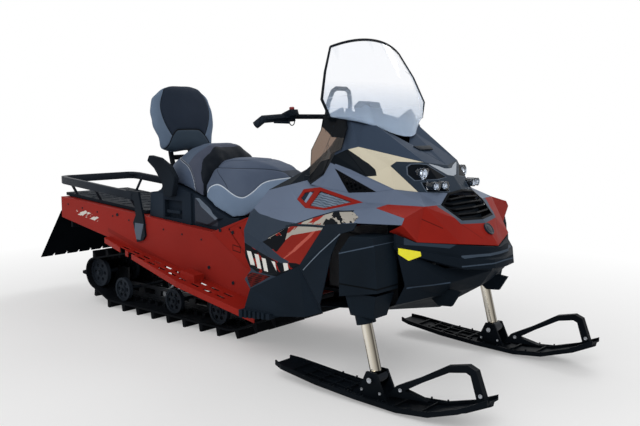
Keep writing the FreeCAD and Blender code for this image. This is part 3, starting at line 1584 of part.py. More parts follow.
def seat_base():
    """Moulded base: a core, a boxed rear with a latch recess, and a bevelled wedge on each side."""
    outline = seat_side(seat_base_shares)
    x0, x1 = outline[-1][0], outline[0][0]
    outline[-1] = (x0, tunnel_top(x0) + seat_fit)
    outline[0] = (x1, tunnel_top(x1) + seat_fit)
    inner = seat_base_half - seat_core_inset
    core = side_prism(outline, -inner, inner)
    whole = side_prism(outline, -seat_base_half, seat_base_half)
    rear_end = seat_rear_x + seat_box_share * seat_length
    rear = block(seat_rear_x - cut_over, rear_end, -seat_base_half, seat_base_half, 0, body_height)
    box = whole.common(rear)
    pocket = side_prism(seat_side(latch_shares), -seat_base_half - cut_over, latch_depth - seat_base_half)
    (bar_x0, bar_z0), (bar_x1, bar_z1) = seat_side(latch_bar_shares)
    bar = block(bar_x0, bar_x1, -seat_base_half, latch_depth - seat_base_half, bar_z0, bar_z1)
    wedge = seat_side(seat_wedge_shares)
    middle_x = sum(x for x, z in wedge) / len(wedge)
    middle_z = sum(z for x, z in wedge) / len(wedge)
    middle = vec(middle_x, -inner - seat_wedge_bevel, middle_z)
    foot = [vec(x, -inner + seat_wedge_bevel / 2, z) for x, z in wedge]
    face = [mix(middle, vec(x, middle.y, z), wedge_face_share) for x, z in wedge]
    wedge = ruled([foot, face])
    cuts = [pocket, mirrored(pocket)]
    adds = [box.cut(Part.makeCompound(cuts)), bar, mirrored(bar), wedge, mirrored(wedge)]
    return core.cut(Part.makeCompound(cuts)).multiFuse(adds)


def backrest_pad():
    """Tall rounded pad, leaning back, with lobes at its foot."""
    outline = []
    for out, up in backrest_shares:
        outline.append((out * backrest_half_width, up * backrest_height))
    outline += [(-y, z) for y, z in outline[::-1] if y > 0]
    lean = math.radians(backrest_lean)
    sections = []
    for depth, inset in backrest_depth_shares:
        points = []
        for y, z in outline:
            y_in = y * inset
            z_in = backrest_height / 2 + (z - backrest_height / 2) * inset
            back = depth * backrest_depth
            x = backrest_foot_x - back * math.cos(lean) - z_in * math.sin(lean)
            points.append(vec(x, y_in, backrest_foot_z + z_in * math.cos(lean) - back * math.sin(lean)))
        sections.append(points)
    return ruled(sections)


def backrest_frame():
    """Two posts up the back of the pad, on a foot plate over the seat base."""
    lean = math.radians(backrest_lean)
    back = backrest_depth + backrest_post_radius + seat_fit
    posts = []
    foot_x = backrest_foot_x - back
    base_z = seat_z(seat_base_shares[1][1])
    for y in (-backrest_post_y, backrest_post_y):
        low = vec(backrest_foot_x - back * math.cos(lean), y, backrest_foot_z - back * math.sin(lean))
        rise = backrest_height / 2
        high = vec(backrest_foot_x - back * math.cos(lean) - rise * math.sin(lean), y,
                   backrest_foot_z + rise * math.cos(lean) - back * math.sin(lean))
        foot = vec(seat_rear_x + backrest_depth / 2, y, base_z)
        posts.append(bent_rod([foot, low, high], backrest_post_radius))
    cross_z = backrest_foot_z - back * math.sin(lean) - backrest_post_radius
    cross = cross_shaft(foot_x, cross_z, backrest_post_y, backrest_post_radius)
    return posts[0].multiFuse(posts[1:] + [cross]).cut(seat_base())


def passenger_handles():
    """Angled hand holds that stand beside the passenger's pad."""
    y = -seat_base_half - seat_fit
    return both_sides(side_prism(seat_side(handle_shares), y - handle_width, y))


# Windshield and deflectors

def windshield():
    sections = []
    for along, out, up, mid_along, mid_up in shield_shares:
        edges = []
        left = body_place((along, -out, up))
        right = body_place((along, out, up))
        middle = body_place((mid_along, 0, mid_up))
        inward = (left + right) * 0.5 - middle
        inward.normalize()
        for depth in (0, shield_thickness):
            edges.append((right + inward * depth, middle + inward * depth, left + inward * depth))
        front, rear = edges
        outline = [Part.Arc(*front).toShape(), Part.makeLine(front[2], rear[2]),
                   Part.Arc(*rear[::-1]).toShape(), Part.makeLine(rear[0], front[0])]
        sections.append(Part.Wire(outline))
    return Part.makeLoft(sections, True, True)


def deflector(points):
    """Faceted side sheet, held to the skin by two pins."""
    outer = [body_place(share) for share in deflector_shares]
    inner = [p + vec(0, deflector_thickness, 0) for p in outer]
    middle = vec(0, 0, 0)
    for p in outer:
        middle = middle + p * (1 / len(outer))
    middle_in = middle + vec(0, deflector_thickness, 0)
    faces = []
    for i in range(len(outer)):
        j = (i + 1) % len(outer)
        faces.append(flat([outer[i], outer[j], middle]))
        faces.append(flat([inner[j], inner[i], middle_in]))
        faces.append(flat([outer[i], inner[i], inner[j]]))
        faces.append(flat([outer[i], inner[j], outer[j]]))
    sheet = closed_solid(faces)
    inward = vec(0, body_half_width, 0)
    skin = swept(deflector_back_faces, points, points, vec(0, -seat_fit, 0), inward)
    outside = []
    for a, b in zip(outer, outer[1:] + outer[:1]):
        outside.append(flat([a, b, middle]).extrude(inward * -1))
    for share in deflector_pin_shares:
        spot = body_place(share)
        pin = rod(spot, spot + inward, deflector_pin_radius)
        sheet = sheet.fuse(pin.cut(skin).cut(Part.makeCompound(outside)))
    return both_sides(sheet)


# Front end

def front_bumper():
    """Two stepped lips that wrap the nose from side to side."""
    stations = []
    for along, out, top, foot, depth in bumper_shares:
        place = body_place((along, out, 0))
        z1, z0 = top * body_height, foot * body_height
        back = depth * body_length
        stations.append([vec(place.x - back * b, place.y, z0 + (z1 - z0) * u) for b, u in bumper_ring_shares])
    left = [[vec(p.x, -p.y, p.z) for p in station] for station in stations[-2::-1]]
    return ruled(stations + left)


def leg_cover():
    outline = [(body_rear_x + sx * body_length, sz * body_height) for sx, sz in leg_cover_shares]
    out = -leg_cover_out_share * body_half_width
    inner = -leg_cover_in_share * body_half_width
    box = side_prism(outline, out, inner)
    middle_x = sum(x for x, z in outline) / len(outline)
    middle_z = sum(z for x, z in outline) / len(outline)
    tall = max(z for x, z in outline) - min(z for x, z in outline)
    shrink = 1 - 2 * body_wall / tall
    cavity = [(middle_x + (x - middle_x) * shrink, middle_z + (z - middle_z) * shrink) for x, z in outline]
    box = box.cut(side_prism(cavity, out + body_wall, inner + cut_over))
    x0, x1, y0, y1 = funnel_top_shares
    x2, x3, y2, y3 = funnel_foot_shares
    top_z = funnel_top_z_share * body_height
    foot_z = funnel_foot_z_share * body_height
    def ring(a, b, c, d, z, inset):
        left, right = body_rear_x + a * body_length + inset, body_rear_x + b * body_length - inset
        near, far = -d * body_half_width + inset, -c * body_half_width - inset
        return [vec(left, near, z), vec(right, near, z), vec(right, far, z), vec(left, far, z)]
    shells = []
    for inset in (0, body_wall):
        shells.append(ruled([ring(x0, x1, y0, y1, top_z, inset), ring(x2, x3, y2, y3, foot_z, inset)]))
    funnel = shells[0].cut(shells[1])
    axis = leg_axis()
    foot = leg_point(boot_start)
    boot = rod(foot, foot + axis * boot_height, boot_radius)
    path = rod(leg_point(0), leg_point(leg_top_length), leg_radius + run_gap)
    tube_radius = leg_radius + leg_tube_wall + seat_fit
    housing = rod(leg_point(leg_tube_start - seat_fit), leg_point(leg_top_length), tube_radius + seat_fit)
    return box.multiFuse([funnel, boot]).cut(path).cut(housing)


def leg_foot():
    return body_rear_x + leg_foot_x_share * body_length


def leg_axis():
    lean = math.radians(leg_lean)
    return vec(-math.sin(lean), 0, math.cos(lean))


def leg_point(travel):
    return vec(leg_foot(), -ski_stance_half, leg_foot_z) + leg_axis() * travel


def ski_leg():
    """Bright telescopic leg with a forked foot on the ski's bolt."""
    stanchion = rod(leg_point(0), leg_point(leg_top_length), leg_radius)
    knuckle = rod(vec(leg_foot(), -ski_stance_half - saddle_half + saddle_plate + seat_fit, leg_foot_z),
                  vec(leg_foot(), -ski_stance_half + saddle_half - saddle_plate - seat_fit, leg_foot_z),
                  leg_radius + shaft_radius)
    bolt = rod(vec(leg_foot(), -ski_stance_half - ski_half_width, leg_foot_z),
               vec(leg_foot(), -ski_stance_half + ski_half_width, leg_foot_z), ski_bolt_radius + seat_fit)
    return stanchion.fuse(knuckle).cut(bolt)


def ski_section(share):
    along, width, lift = share
    x = ski_tip_x - ski_length + along * ski_length
    half = width * ski_half_width
    z = lift * ski_length
    keel = ski_keel_half
    floor_z = z + ski_keel_depth
    rim = floor_z + ski_flange
    profile = [(-half, rim), (-half, floor_z), (-keel, floor_z), (-keel / 2, z), (keel / 2, z),
               (keel, floor_z), (half, floor_z), (half, rim), (half - ski_shell, rim),
               (half - ski_shell, floor_z + ski_shell), (-half + ski_shell, floor_z + ski_shell),
               (-half + ski_shell, rim)]
    return [vec(x, -ski_stance_half + y, z) for y, z in profile]


def rib_ring(points):
    """Upright section of a cross rib between the ski's turned-up edges."""
    foot_left, foot_right = points[10], points[9]
    low, high = vec(0, 0, -ski_shell / 2), vec(0, 0, ski_flange / 2)
    return [foot_left + low, foot_right + low, foot_right + high, foot_left + high]


def ski():
    """Keeled ski with turned-up edges, a saddle with its bolt, and a hand loop."""
    shell = ruled([ski_section(share) for share in ski_shares])
    half = saddle_length / 2
    low = ski_keel_depth + ski_shell / 2
    ears = []
    for side in (-1, 1):
        y = -ski_stance_half + side * (saddle_half - saddle_plate / 2)
        outline = [(leg_foot() - half, low), (leg_foot() + half, low),
                   (leg_foot() + leg_radius, leg_foot_z + saddle_height / 2),
                   (leg_foot() - leg_radius, leg_foot_z + saddle_height / 2)]
        ears.append(side_prism(outline, y - saddle_plate / 2, y + saddle_plate / 2))
    bolt = rod(vec(leg_foot(), -ski_stance_half - saddle_half - saddle_plate, leg_foot_z),
               vec(leg_foot(), -ski_stance_half + saddle_half + saddle_plate, leg_foot_z), ski_bolt_radius)
    tail_x = ski_tip_x - ski_length
    ribs = []
    for share in ski_rib_shares:
        width = table_row(ski_shares, share)[0] - ski_shell / ski_half_width / 2
        rings = []
        for at in (share, share + ski_rib / ski_length):
            rings.append(rib_ring(ski_section((at, width, table_row(ski_shares, at)[1]))))
        ribs.append(ruled(rings))
    outer = [(tail_x + sx * ski_length, sz * ski_length) for sx, sz in loop_outer_shares]
    inner = [(tail_x + sx * ski_length, sz * ski_length) for sx, sz in loop_inner_shares]
    y0 = -ski_stance_half - loop_width / 2
    loop = side_prism(outer, y0, y0 + loop_width)
    loop = loop.cut(side_prism(inner, y0 - cut_over, y0 + loop_width + cut_over))
    return shell.multiFuse(ears + ribs + [bolt, loop])


def front_frame(points, inner):
    """Engine cradle on four pads, cross beam and the tubes that the ski legs turn in."""
    floor_z = cradle_floor_share * body_height
    front = body_rear_x + cradle_front_share * body_length
    rear = tunnel_front_x + seat_fit
    floor = block(rear, front, -cradle_half, cradle_half, floor_z, floor_z + cradle_thickness)
    tube_top = leg_point(leg_top_length - leg_radius)
    beam_centre = leg_point(leg_tube_start + beam_rise)
    half = beam_size / 2
    beam = block(beam_centre.x - half, beam_centre.x + half, -ski_stance_half, ski_stance_half,
                 beam_centre.z - half, beam_centre.z + half)
    legs_up = []
    for side in (-1, 1):
        legs_up.append(block(beam_centre.x - half, beam_centre.x + half,
                             side * cradle_half - half, side * cradle_half + half, floor_z, beam_centre.z))
    under = swept(belly_faces[-1:], points, inner, vec(0, 0, seat_fit), vec(0, 0, -body_height))
    for share in cradle_pad_shares:
        x = body_rear_x + share * body_length
        pad = block(x, x + beam_size, -cradle_pad_y - half, -cradle_pad_y + half, 0, floor_z)
        pad = pad.cut(under)
        legs_up += [pad, mirrored(pad)]
    outer = rod(leg_point(leg_tube_start), tube_top, leg_radius + leg_tube_wall + seat_fit)
    bore = rod(leg_point(0), leg_point(leg_top_length + beam_size), leg_radius + seat_fit)
    pieces = [beam, outer, mirrored(outer)] + legs_up
    frame = floor.multiFuse(pieces)
    return frame.cut(Part.makeCompound([bore, mirrored(bore)]))


def engine_block():
    """Engine with its drive, standing on the cradle's floor."""
    x = body_rear_x + engine_rear_share * body_length
    z = cradle_floor_share * body_height + cradle_thickness
    return block(x, x + engine_length_share * body_length, -engine_half, engine_half,
                 z, z + engine_height_share * body_height)


# Steering

def steer_axis():
    lean = math.radians(steer_lean)
    return vec(-math.sin(lean), 0, math.cos(lean))


def steer_point(travel):
    return vec(steer_x, 0, steer_z) + steer_axis() * travel


def bar_points():
    """Bar line from the right end over the clamp to the left end."""
    points = []
    centre = steer_point(0)
    for side in (-1, 1):
        half = [vec(centre.x - bar_end_back, side * bar_end_y, centre.z + bar_rise - bar_end_drop),
                vec(centre.x - bar_bend_back, side * bar_bend_y, centre.z + bar_rise),
                vec(centre.x, side * bar_mid_y, centre.z + bar_rise),
                vec(centre.x, side * bar_clamp_half, centre.z)]
        points.append(half)
    return points[0] + points[1][::-1]


def handlebar():
    bar = bent_rod(bar_points(), bar_radius)
    post = rod(steer_point(-post_length), steer_point(bar_clamp_size / 2), post_radius)
    reach = bar_clamp_half + bar_radius
    clamp = rod(steer_point(-bar_clamp_size / 2) - vec(0, reach, 0),
                steer_point(-bar_clamp_size / 2) + vec(0, reach, 0), bar_clamp_size / 2)
    foot_z = steer_z + bar_rise * (grab_foot_half - bar_clamp_half) / (bar_mid_y - bar_clamp_half)
    feet = [vec(steer_x, side * grab_foot_half, foot_z) for side in (-1, 1)]
    rise = steer_z + bar_rise + grab_height - foot_z
    bow = []
    for out, up in grab_shares:
        bow.append(vec(steer_x + grab_lean * up, out * grab_foot_half, foot_z + up * rise))
    other = [vec(p.x, -p.y, p.z) for p in bow[::-1]]
    loop = bent_rod([feet[0]] + other[::-1] + bow[::-1] + [feet[1]], grab_radius)
    return bar.multiFuse([post, clamp, loop])


def grips():
    points = bar_points()
    end, bend = points[0], points[1]
    direction = bend - end
    direction.normalize()
    hook = end + vec(-hook_back, -hook_out, -hook_drop)
    grip = bent_rod([hook, end, end + direction * grip_length], grip_radius)
    return both_sides(grip.cut(rod(end - direction * seat_fit, bend, bar_radius + seat_fit)))


def switch_blocks():
    points = bar_points()
    end, bend = points[0], points[1]
    direction = bend - end
    direction.normalize()
    start = end + direction * (grip_length + seat_fit)
    body = rod(start, start + direction * switch_length, switch_height / 2)
    lever_start = start + direction * (switch_length / 2) + vec(switch_depth / 2, 0, 0)
    lever = rod(lever_start, lever_start - direction * lever_length, lever_thickness / 2)
    bridge = rod(start + direction * (switch_length / 2), lever_start, lever_thickness)
    bore = rod(end, bend, bar_radius + seat_fit)
    return both_sides(body.fuse(lever).fuse(bridge).cut(bore))


def steering_tower():
    """Sleeve that the post turns in, on two legs from the tunnel's top."""
    low = steer_point(-post_length)
    sleeve = rod(low, steer_point(-post_length + sleeve_length), post_radius + post_sleeve)
    bore = rod(steer_point(-post_length - sleeve_length), steer_point(0), post_radius + seat_fit)
    foot_x = tunnel_front_x - beam_size
    legs = []
    for side in (-1, 1):
        legs.append(rod(vec(foot_x, side * beam_size * 2, tunnel_top(foot_x)),
                        steer_point(-post_length + sleeve_length / 2), tower_leg_radius))
    solid = sleeve.multiFuse(legs).cut(bore)
    rear, front = foot_x - beam_size * 2, tunnel_front_x
    roof = [(rear, 0), (rear, tunnel_top(rear) + seat_fit), (front, tunnel_top(front) + seat_fit), (front, 0)]
    return solid.cut(side_prism(roof, -tunnel_half_width, tunnel_half_width))


# Lamps and reflectors

def lamp_bodies(gap):
    """Upper projector and lower twin reflectors on each side, standing in the housing."""
    pieces = []
    for along, out, up, radius in lens_shares:
        place = body_place((along, out, up))
        reach = lens_depth_share * body_length
        pieces.append(rod(place, place + vec(reach, 0, 0), radius * body_length + gap))
    return both_sides(Part.makeCompound(pieces))


def reflectors():
    """Yellow lens on the flank ahead of the leg on each side."""
    places = [body_place(shares) for shares in reflector_spot_shares]
    normal = (places[1] - places[0]).cross(places[2] - places[0])
    normal.normalize()
    if normal.y > 0:
        normal = normal * -1
    corners = []
    for shares in reflector_shares:
        spot = normal * reflector_gap
        for place, share in zip(places, shares):
            spot = spot + place * share
        corners.append(spot)
    return both_sides(flat(corners).extrude(normal * reflector_thickness))


def build():
    os.makedirs("parts", exist_ok=True)
    points = skin_points()
    inner = inner_points(points)
    for name in panel_faces:
        panel = skin_panel(name, points, inner)
        if name == "console":
            panel = panel.cut(rod(steer_point(-post_length), steer_point(post_length), post_radius + run_gap))
        if name == "lamp_housing":
            panel = panel.cut(lamp_bodies(seat_fit))
        if name == "vent_frames":
            panel = vent_frame(panel)
        if name == "mesh_grilles":
            panel = mesh_grille(panel)
        if name == "hood_grille":
            panel = hood_slats(panel)
        if name == "upper_cowl":
            panel = cowl_scoop(panel)
        if name == "lower_fairings":
            step = toe_step()
            panel = panel.multiFuse([step, mirrored(step)])
        if name == "belly_pan":
            fin = belly_fin()
            panel = panel.multiFuse([fin, mirrored(fin)])
        save(name, panel)
    save("vent_grilles", vent_grilles())
    save("gauge_pod", gauge_pod())
    save("track", track())
    save("drive_axle", drive_axle())
    save("rear_axle", rear_axle())
    save("idler_wheels", idler_wheels())
    save("slide_rails", slide_rails())
    save("suspension_arms", suspension_arms())
    save("shocks", shocks())
    save("tunnel", tunnel())
    save("running_boards", both_sides(running_board()))
    save("side_plates", side_plate())
    save("snow_flap", snow_flap())
    save("rack_deck", rack_deck())
    save("rack_rail", rack_rail())
    save("rack_brackets", rack_brackets())
    save("tail_lamp", tail_lamp())
    save("tow_hitch", tow_hitch())
    save("seat_base", seat_base())
    save("driver_seat", seat_pad(driver_seat_shares))
    save("passenger_seat", seat_pad(passenger_seat_shares))
    save("backrest_pad", backrest_pad())
    save("backrest_frame", backrest_frame())
    save("passenger_handles", passenger_handles())
    save("windshield", windshield())
    save("wind_deflectors", deflector(points))
    save("front_bumper", front_bumper())
    save("leg_covers", both_sides(leg_cover()))
    save("front_frame", front_frame(points, inner))
    save("engine_block", engine_block())
    save("handlebar", handlebar())
    save("grips", grips())
    save("switch_blocks", switch_blocks())
    save("steering_tower", steering_tower())
    save("lamp_lenses", lamp_bodies(0))
    save("side_reflectors", reflectors())
    save("ski_leg_right", ski_leg())
    save("ski_leg_left", mirrored(ski_leg()))
    save("ski_right", ski())
    save("ski_left", mirrored(ski()))


build()
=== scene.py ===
import json
import math
import bpy
import numpy as np
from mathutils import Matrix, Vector

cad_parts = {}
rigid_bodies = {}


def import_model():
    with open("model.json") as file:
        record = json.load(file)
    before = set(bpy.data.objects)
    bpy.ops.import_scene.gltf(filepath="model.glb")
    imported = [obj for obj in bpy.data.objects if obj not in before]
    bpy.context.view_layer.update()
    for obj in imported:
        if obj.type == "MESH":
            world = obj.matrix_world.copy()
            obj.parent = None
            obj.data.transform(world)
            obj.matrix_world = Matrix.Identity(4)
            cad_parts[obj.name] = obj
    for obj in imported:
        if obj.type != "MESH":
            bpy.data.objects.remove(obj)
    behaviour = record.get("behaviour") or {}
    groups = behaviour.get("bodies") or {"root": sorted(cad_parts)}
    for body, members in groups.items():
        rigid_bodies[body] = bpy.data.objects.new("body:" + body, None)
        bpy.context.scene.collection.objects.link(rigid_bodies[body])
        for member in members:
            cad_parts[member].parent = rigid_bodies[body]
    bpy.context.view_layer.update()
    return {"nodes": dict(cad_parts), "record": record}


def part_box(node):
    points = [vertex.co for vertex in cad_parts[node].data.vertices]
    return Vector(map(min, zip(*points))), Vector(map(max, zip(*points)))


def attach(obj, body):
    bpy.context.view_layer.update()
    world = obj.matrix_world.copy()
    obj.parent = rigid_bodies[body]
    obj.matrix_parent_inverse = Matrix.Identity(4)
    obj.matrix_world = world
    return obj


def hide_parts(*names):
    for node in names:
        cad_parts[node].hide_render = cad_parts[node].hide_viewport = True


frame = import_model()
nodes = frame["nodes"]
slot_of = {part["node"]: part["material_slot"] for part in frame["record"]["subparts"]}

# Camera: metres, degrees, millimetres
CAMERA_PLACE = (2.854, -2.842, 1.083)
CAMERA_TURN = 40.15
CAMERA_DROP = 6.77
CAMERA_LENS = 43.66
CAMERA_SENSOR = 36

bpy.ops.object.camera_add(location=CAMERA_PLACE)
camera = bpy.context.object
camera.rotation_euler = (math.radians(90 - CAMERA_DROP), 0, math.radians(CAMERA_TURN))
camera.data.lens = CAMERA_LENS
camera.data.sensor_width = CAMERA_SENSOR
bpy.context.scene.camera = camera
bpy.context.scene.view_settings.view_transform = "Standard"


# Materials

def linear(code):
    """Linear colour from a six-digit sRGB code."""
    parts = [int(code[i:i + 2], 16) / 255 for i in (0, 2, 4)]
    return tuple(c / 12.92 if c <= 0.04045 else ((c + 0.055) / 1.055) ** 2.4 for c in parts) + (1,)


def sides_of(outline):
    """Each side of a closed outline as its two ends."""
    return list(zip(outline, outline[1:] + outline[:1]))


class Look:
    """A material being wired: one Principled shader, read on Object coordinates."""

    def __init__(self, name):
        self.material = bpy.data.materials.new(name)
        self.material.use_nodes = True
        self.tree = self.material.node_tree
        self.shader = self.tree.nodes["Principled BSDF"]
        self.place = self.add("ShaderNodeTexCoord").outputs["Object"]

    def add(self, kind, **values):
        node = self.tree.nodes.new(kind)
        for key, value in values.items():
            if hasattr(node, key) and key not in node.inputs:
                setattr(node, key, value)
            else:
                node.inputs[key].default_value = value
        return node

    def join(self, source, target):
        self.tree.links.new(source, target)

    def feed(self, node, values):
        """Wire or set a node's inputs from pairs of socket and source or value."""
        for socket, value in values:
            if hasattr(value, "node"):
                self.join(value, node.inputs[socket])
            elif value is not None:
                node.inputs[socket].default_value = value
        return node

    def set(self, **values):
        for key, value in values.items():
            self.shader.inputs[key.replace("_", " ")].default_value = value

    def tint(self, source):
        self.join(source, self.shader.inputs["Base Color"])

    def axes(self):
        """The place's X, Y and Z apart."""
        return self.feed(self.add("ShaderNodeSeparateXYZ"), [(0, self.place)]).outputs

    def mapped(self, source, **values):
        return self.feed(self.add("ShaderNodeMapping", **values), [("Vector", source)]).outputs["Vector"]

    def noise(self, scale, detail=3.0, stretch=None, turn=None):
        source = self.place
        if turn:
            source = self.mapped(source, Rotation=turn)
        if stretch:
            source = self.mapped(source, Scale=stretch)
        node = self.add("ShaderNodeTexNoise", Scale=scale, Detail=detail)
        return self.feed(node, [("Vector", source)]).outputs["Fac"]

    def cells(self, scale, **values):
        node = self.add("ShaderNodeTexVoronoi", Scale=scale, **values)
        return self.feed(node, [("Vector", self.place)]).outputs["Distance"]

    def ramp(self, source, stops):
        node = self.add("ShaderNodeValToRGB")
        elements = node.color_ramp.elements
        while len(elements) < len(stops):
            elements.new(0.5)
        for element, (spot, colour) in zip(elements, stops):
            element.position = spot
            element.color = colour if hasattr(colour, "__len__") else (colour, colour, colour, 1)
        self.join(source, node.inputs["Fac"])
        return node.outputs["Color"]

    def blend(self, share, first, second):
        node = self.add("ShaderNodeMix", data_type="RGBA")
        return self.feed(node, [(0, share), (6, first), (7, second)]).outputs[2]

    def sums(self, operation, first, second=None, third=None):
        node = self.add("ShaderNodeMath", operation=operation)
        return self.feed(node, enumerate((first, second, third))).outputs[0]

    def times(self, first, second):
        """Where two masks overlap, or a value scaled."""
        return self.sums("MULTIPLY", first, second)

    def ranged(self, source, *span):
        """A value carried from one span, low to high, to another."""
        sockets = ("Value", "From Min", "From Max", "To Min", "To Max")
        return self.feed(self.add("ShaderNodeMapRange"), zip(sockets, (source,) + span)).outputs[0]

    def bump(self, height, strength, distance):
        node = self.add("ShaderNodeBump", Strength=strength, Distance=distance)
        self.join(height, node.inputs["Height"])
        normal = self.shader.inputs["Normal"]
        if normal.links:
            self.join(normal.links[0].from_socket, node.inputs["Normal"])
        self.join(node.outputs["Normal"], normal)

    def region(self, outline, across="X"):
        """1 inside a convex outline seen along one axis, both sides of the machine alike."""
        parts = self.axes()
        run, rise = parts[across], parts["Z"]
        if across == "Y":
            run = self.sums("ABSOLUTE", run)
        if sum(x0 * z1 - x1 * z0 for (x0, z0), (x1, z1) in sides_of(outline)) < 0:
            outline = outline[::-1]
        inside = None
        for (x0, z0), (x1, z1) in sides_of(outline):
            level = self.sums("MULTIPLY", run, z0 - z1)
            level = self.sums("MULTIPLY_ADD", rise, x1 - x0, level)
            test = self.sums("GREATER_THAN", level, (z0 - z1) * x0 + (x1 - x0) * z0)
            inside = test if inside is None else self.sums("MINIMUM", inside, test)
        return inside

    def regions(self, outlines, across="X"):
        covered = None
        for outline in outlines:
            test = self.region(outline, across)
            covered = test if covered is None else self.sums("MAXIMUM", covered, test)
        return covered

    def paint(self, mask, colour):
        """Lay a colour over the base where the mask is 1."""
        base = self.shader.inputs["Base Color"].links[0].from_socket
        self.tint(self.blend(mask, base, linear(colour) if isinstance(colour, str) else colour))
        return self

    def fill(self, outlines, colour, across="X", rough=None):
        """Colour the fields, with a roughness of their own where given."""
        mask = self.regions(outlines, across)
        self.paint(mask, colour)
        if rough:
            gloss = self.shader.inputs["Roughness"]
            self.join(self.blend(mask, gloss.links[0].from_socket, (rough, rough, rough, 1)), gloss)
        return self

    def draw(self, line, wide, colour, across="X"):
        """A thin coloured line."""
        return self.fill(stripe(line, wide), colour, across)

    def streaks(self, scale, lean, edge, stretch):
        """Torn slanting strokes: noise drawn out along one direction and cut off at a level."""
        drawn = self.noise(scale, 6.0, stretch, (0, math.radians(lean), 0))
        return self.sums("GREATER_THAN", drawn, edge)

    def overlay(self, share, second):
        """Mix another shader over this one."""
        mix = self.add("ShaderNodeMixShader")
        self.feed(mix, [(0, share), (1, self.shader.outputs[0]), (2, second)])
        self.join(mix.outputs[0], self.tree.nodes["Material Output"].inputs["Surface"])
        return self


def moulded(name, light, dark, rough=(0.42, 0.56), mottle=3.0, grain=900.0, depth=0.00035, metal=0.0,
            shine=0.5, coat=0.0):
    """Moulded or painted look: slow colour drift, uneven gloss and a fine grain."""
    look = Look(name)
    drift = look.noise(mottle, 5.0)
    look.tint(look.ramp(drift, [(0.3, linear(dark)), (0.7, linear(light))]))
    gloss = look.noise(mottle * 4, 4.0)
    look.join(look.ramp(gloss, [(0.3, rough[0]), (0.7, rough[1])]), look.shader.inputs["Roughness"])
    look.bump(look.noise(grain, 2.0), 0.35, depth)
    look.set(Metallic=metal, Specular_IOR_Level=shine)
    if coat:
        look.set(Coat_Weight=coat, Coat_Roughness=0.12)
    return look


def matt_black(name, light="161e27", dark="10171e"):
    return moulded(name, light, dark, (0.48, 0.6), 3.0, 700.0, 0.0006, shine=0.03)


def brick_red(name, mottle=2.2, grain=1400.0, coat=0.0):
    return moulded(name, "96231a", "841e17", (0.4, 0.52), mottle, grain, 0.0002, shine=0.05, coat=coat)


def clear(name, tint, rough):
    """Clear sheet, faintly smeared."""
    look = Look(name)
    look.set(Base_Color=linear(tint), Roughness=rough, Transmission_Weight=1.0, IOR=1.45)
    smear = look.ramp(look.noise(6.0, 4.0), [(0.35, rough), (0.75, rough * 2 + 0.02)])
    look.join(smear, look.shader.inputs["Roughness"])
    return look


# Coloured fields as outlines in metres: (x, z) from the side, or (y, z) from the front

def between(upper, lower):
    """Four-cornered strips between two lines of as many points."""
    return [[a, b, d, c] for a, b, c, d in zip(upper, upper[1:], lower, lower[1:])]


def stripe(line, wide):
    """Thin strip along a line."""
    half = wide / 2
    return between([(x, z + half) for x, z in line], [(x, z - half) for x, z in line])


def swollen(outline, by):
    """The outline moved out from its middle."""
    middle = [sum(spot[i] for spot in outline) / len(outline) for i in (0, 1)]
    reach = [(math.dist(spot, middle) + by) / math.dist(spot, middle) for spot in outline]
    return [tuple(m + (c - m) * share for c, m in zip(spot, middle)) for spot, share in zip(outline, reach)]


# Painted shade: the side panel's darker field below the shoulder bulge and down its rear
PAINTED_SHADE_FIELD = between(
    [(0.36, 0.7), (0.413, 0.686), (0.4515, 0.674), (0.531, 0.665), (0.611, 0.661), (0.705, 0.662),
     (0.735, 0.6616)],
    [(0.36, 0.33), (0.413, 0.33), (0.47, 0.33), (0.62, 0.33), (0.64, 0.56), (0.69, 0.64), (0.715, 0.652)])
LOWER_FIELD = between(
    [(0.37, 0.545), (0.43, 0.53), (0.486, 0.514), (0.618, 0.488), (0.737, 0.498), (0.8, 0.492)],
    [(0.38, 0.452), (0.42, 0.436), (0.47, 0.423), (0.618, 0.425), (0.67, 0.44), (0.78, 0.48)])
WING_STRIP = between(
    [(0.545, 0.58), (0.6455, 0.6273), (0.735, 0.6616), (0.822, 0.693), (0.921, 0.7228), (1.0, 0.729),
     (1.048, 0.712)],
    [(0.56, 0.56), (0.66, 0.6), (0.74, 0.62), (0.822, 0.64), (0.921, 0.672), (1.0, 0.688), (1.046, 0.694)])
BAND = between(
    [(0.47, 0.56), (0.492, 0.566), (0.56, 0.543), (0.64, 0.51), (0.69, 0.5)],
    [(0.47, 0.53), (0.486, 0.512), (0.56, 0.5), (0.64, 0.486), (0.69, 0.492)])
PALE_FIELD = between(
    [(0.49, 0.6), (0.6, 0.68), (0.76, 0.7), (0.9, 0.7)],
    [(0.53, 0.525), (0.6, 0.545), (0.7, 0.61), (0.9, 0.655)])
SPLATTER = between(
    [(0.49, 0.6), (0.6, 0.66), (0.69, 0.68)],
    [(0.53, 0.52), (0.61, 0.53), (0.66, 0.58)])
STRIP_EDGE = [(0.545, 0.583), (0.6455, 0.6295), (0.735, 0.6638), (0.822, 0.6952), (0.921, 0.725),
              (1.0, 0.731)]
FILM_EDGE = [(0.655, 0.642), (0.7065, 0.653), (0.8095, 0.661), (0.905, 0.665)]
PERFORATED = [[(0.405, 0.4), (0.437, 0.416), (0.58, 0.421), (0.443, 0.35)]]
CHEEK_BLACK = [
    [(0.78, 0.945), (0.815, 0.975), (0.838, 0.968), (0.9075, 0.933), (0.9469, 0.9079), (0.8713, 0.8822),
     (0.75, 0.921)],
    [(0.8713, 0.8822), (0.9469, 0.9079), (0.9727, 0.8847), (0.9832, 0.8594), (0.9385, 0.8546)],
    [(0.7, 1.0), (0.79, 1.0), (0.83, 0.975), (0.8, 0.9), (0.7, 0.94)]]
BROW = [(0.2, 0.612), (0.2406, 0.5904), (0.29, 0.5988), (0.335, 0.605), (0.4, 0.613)]
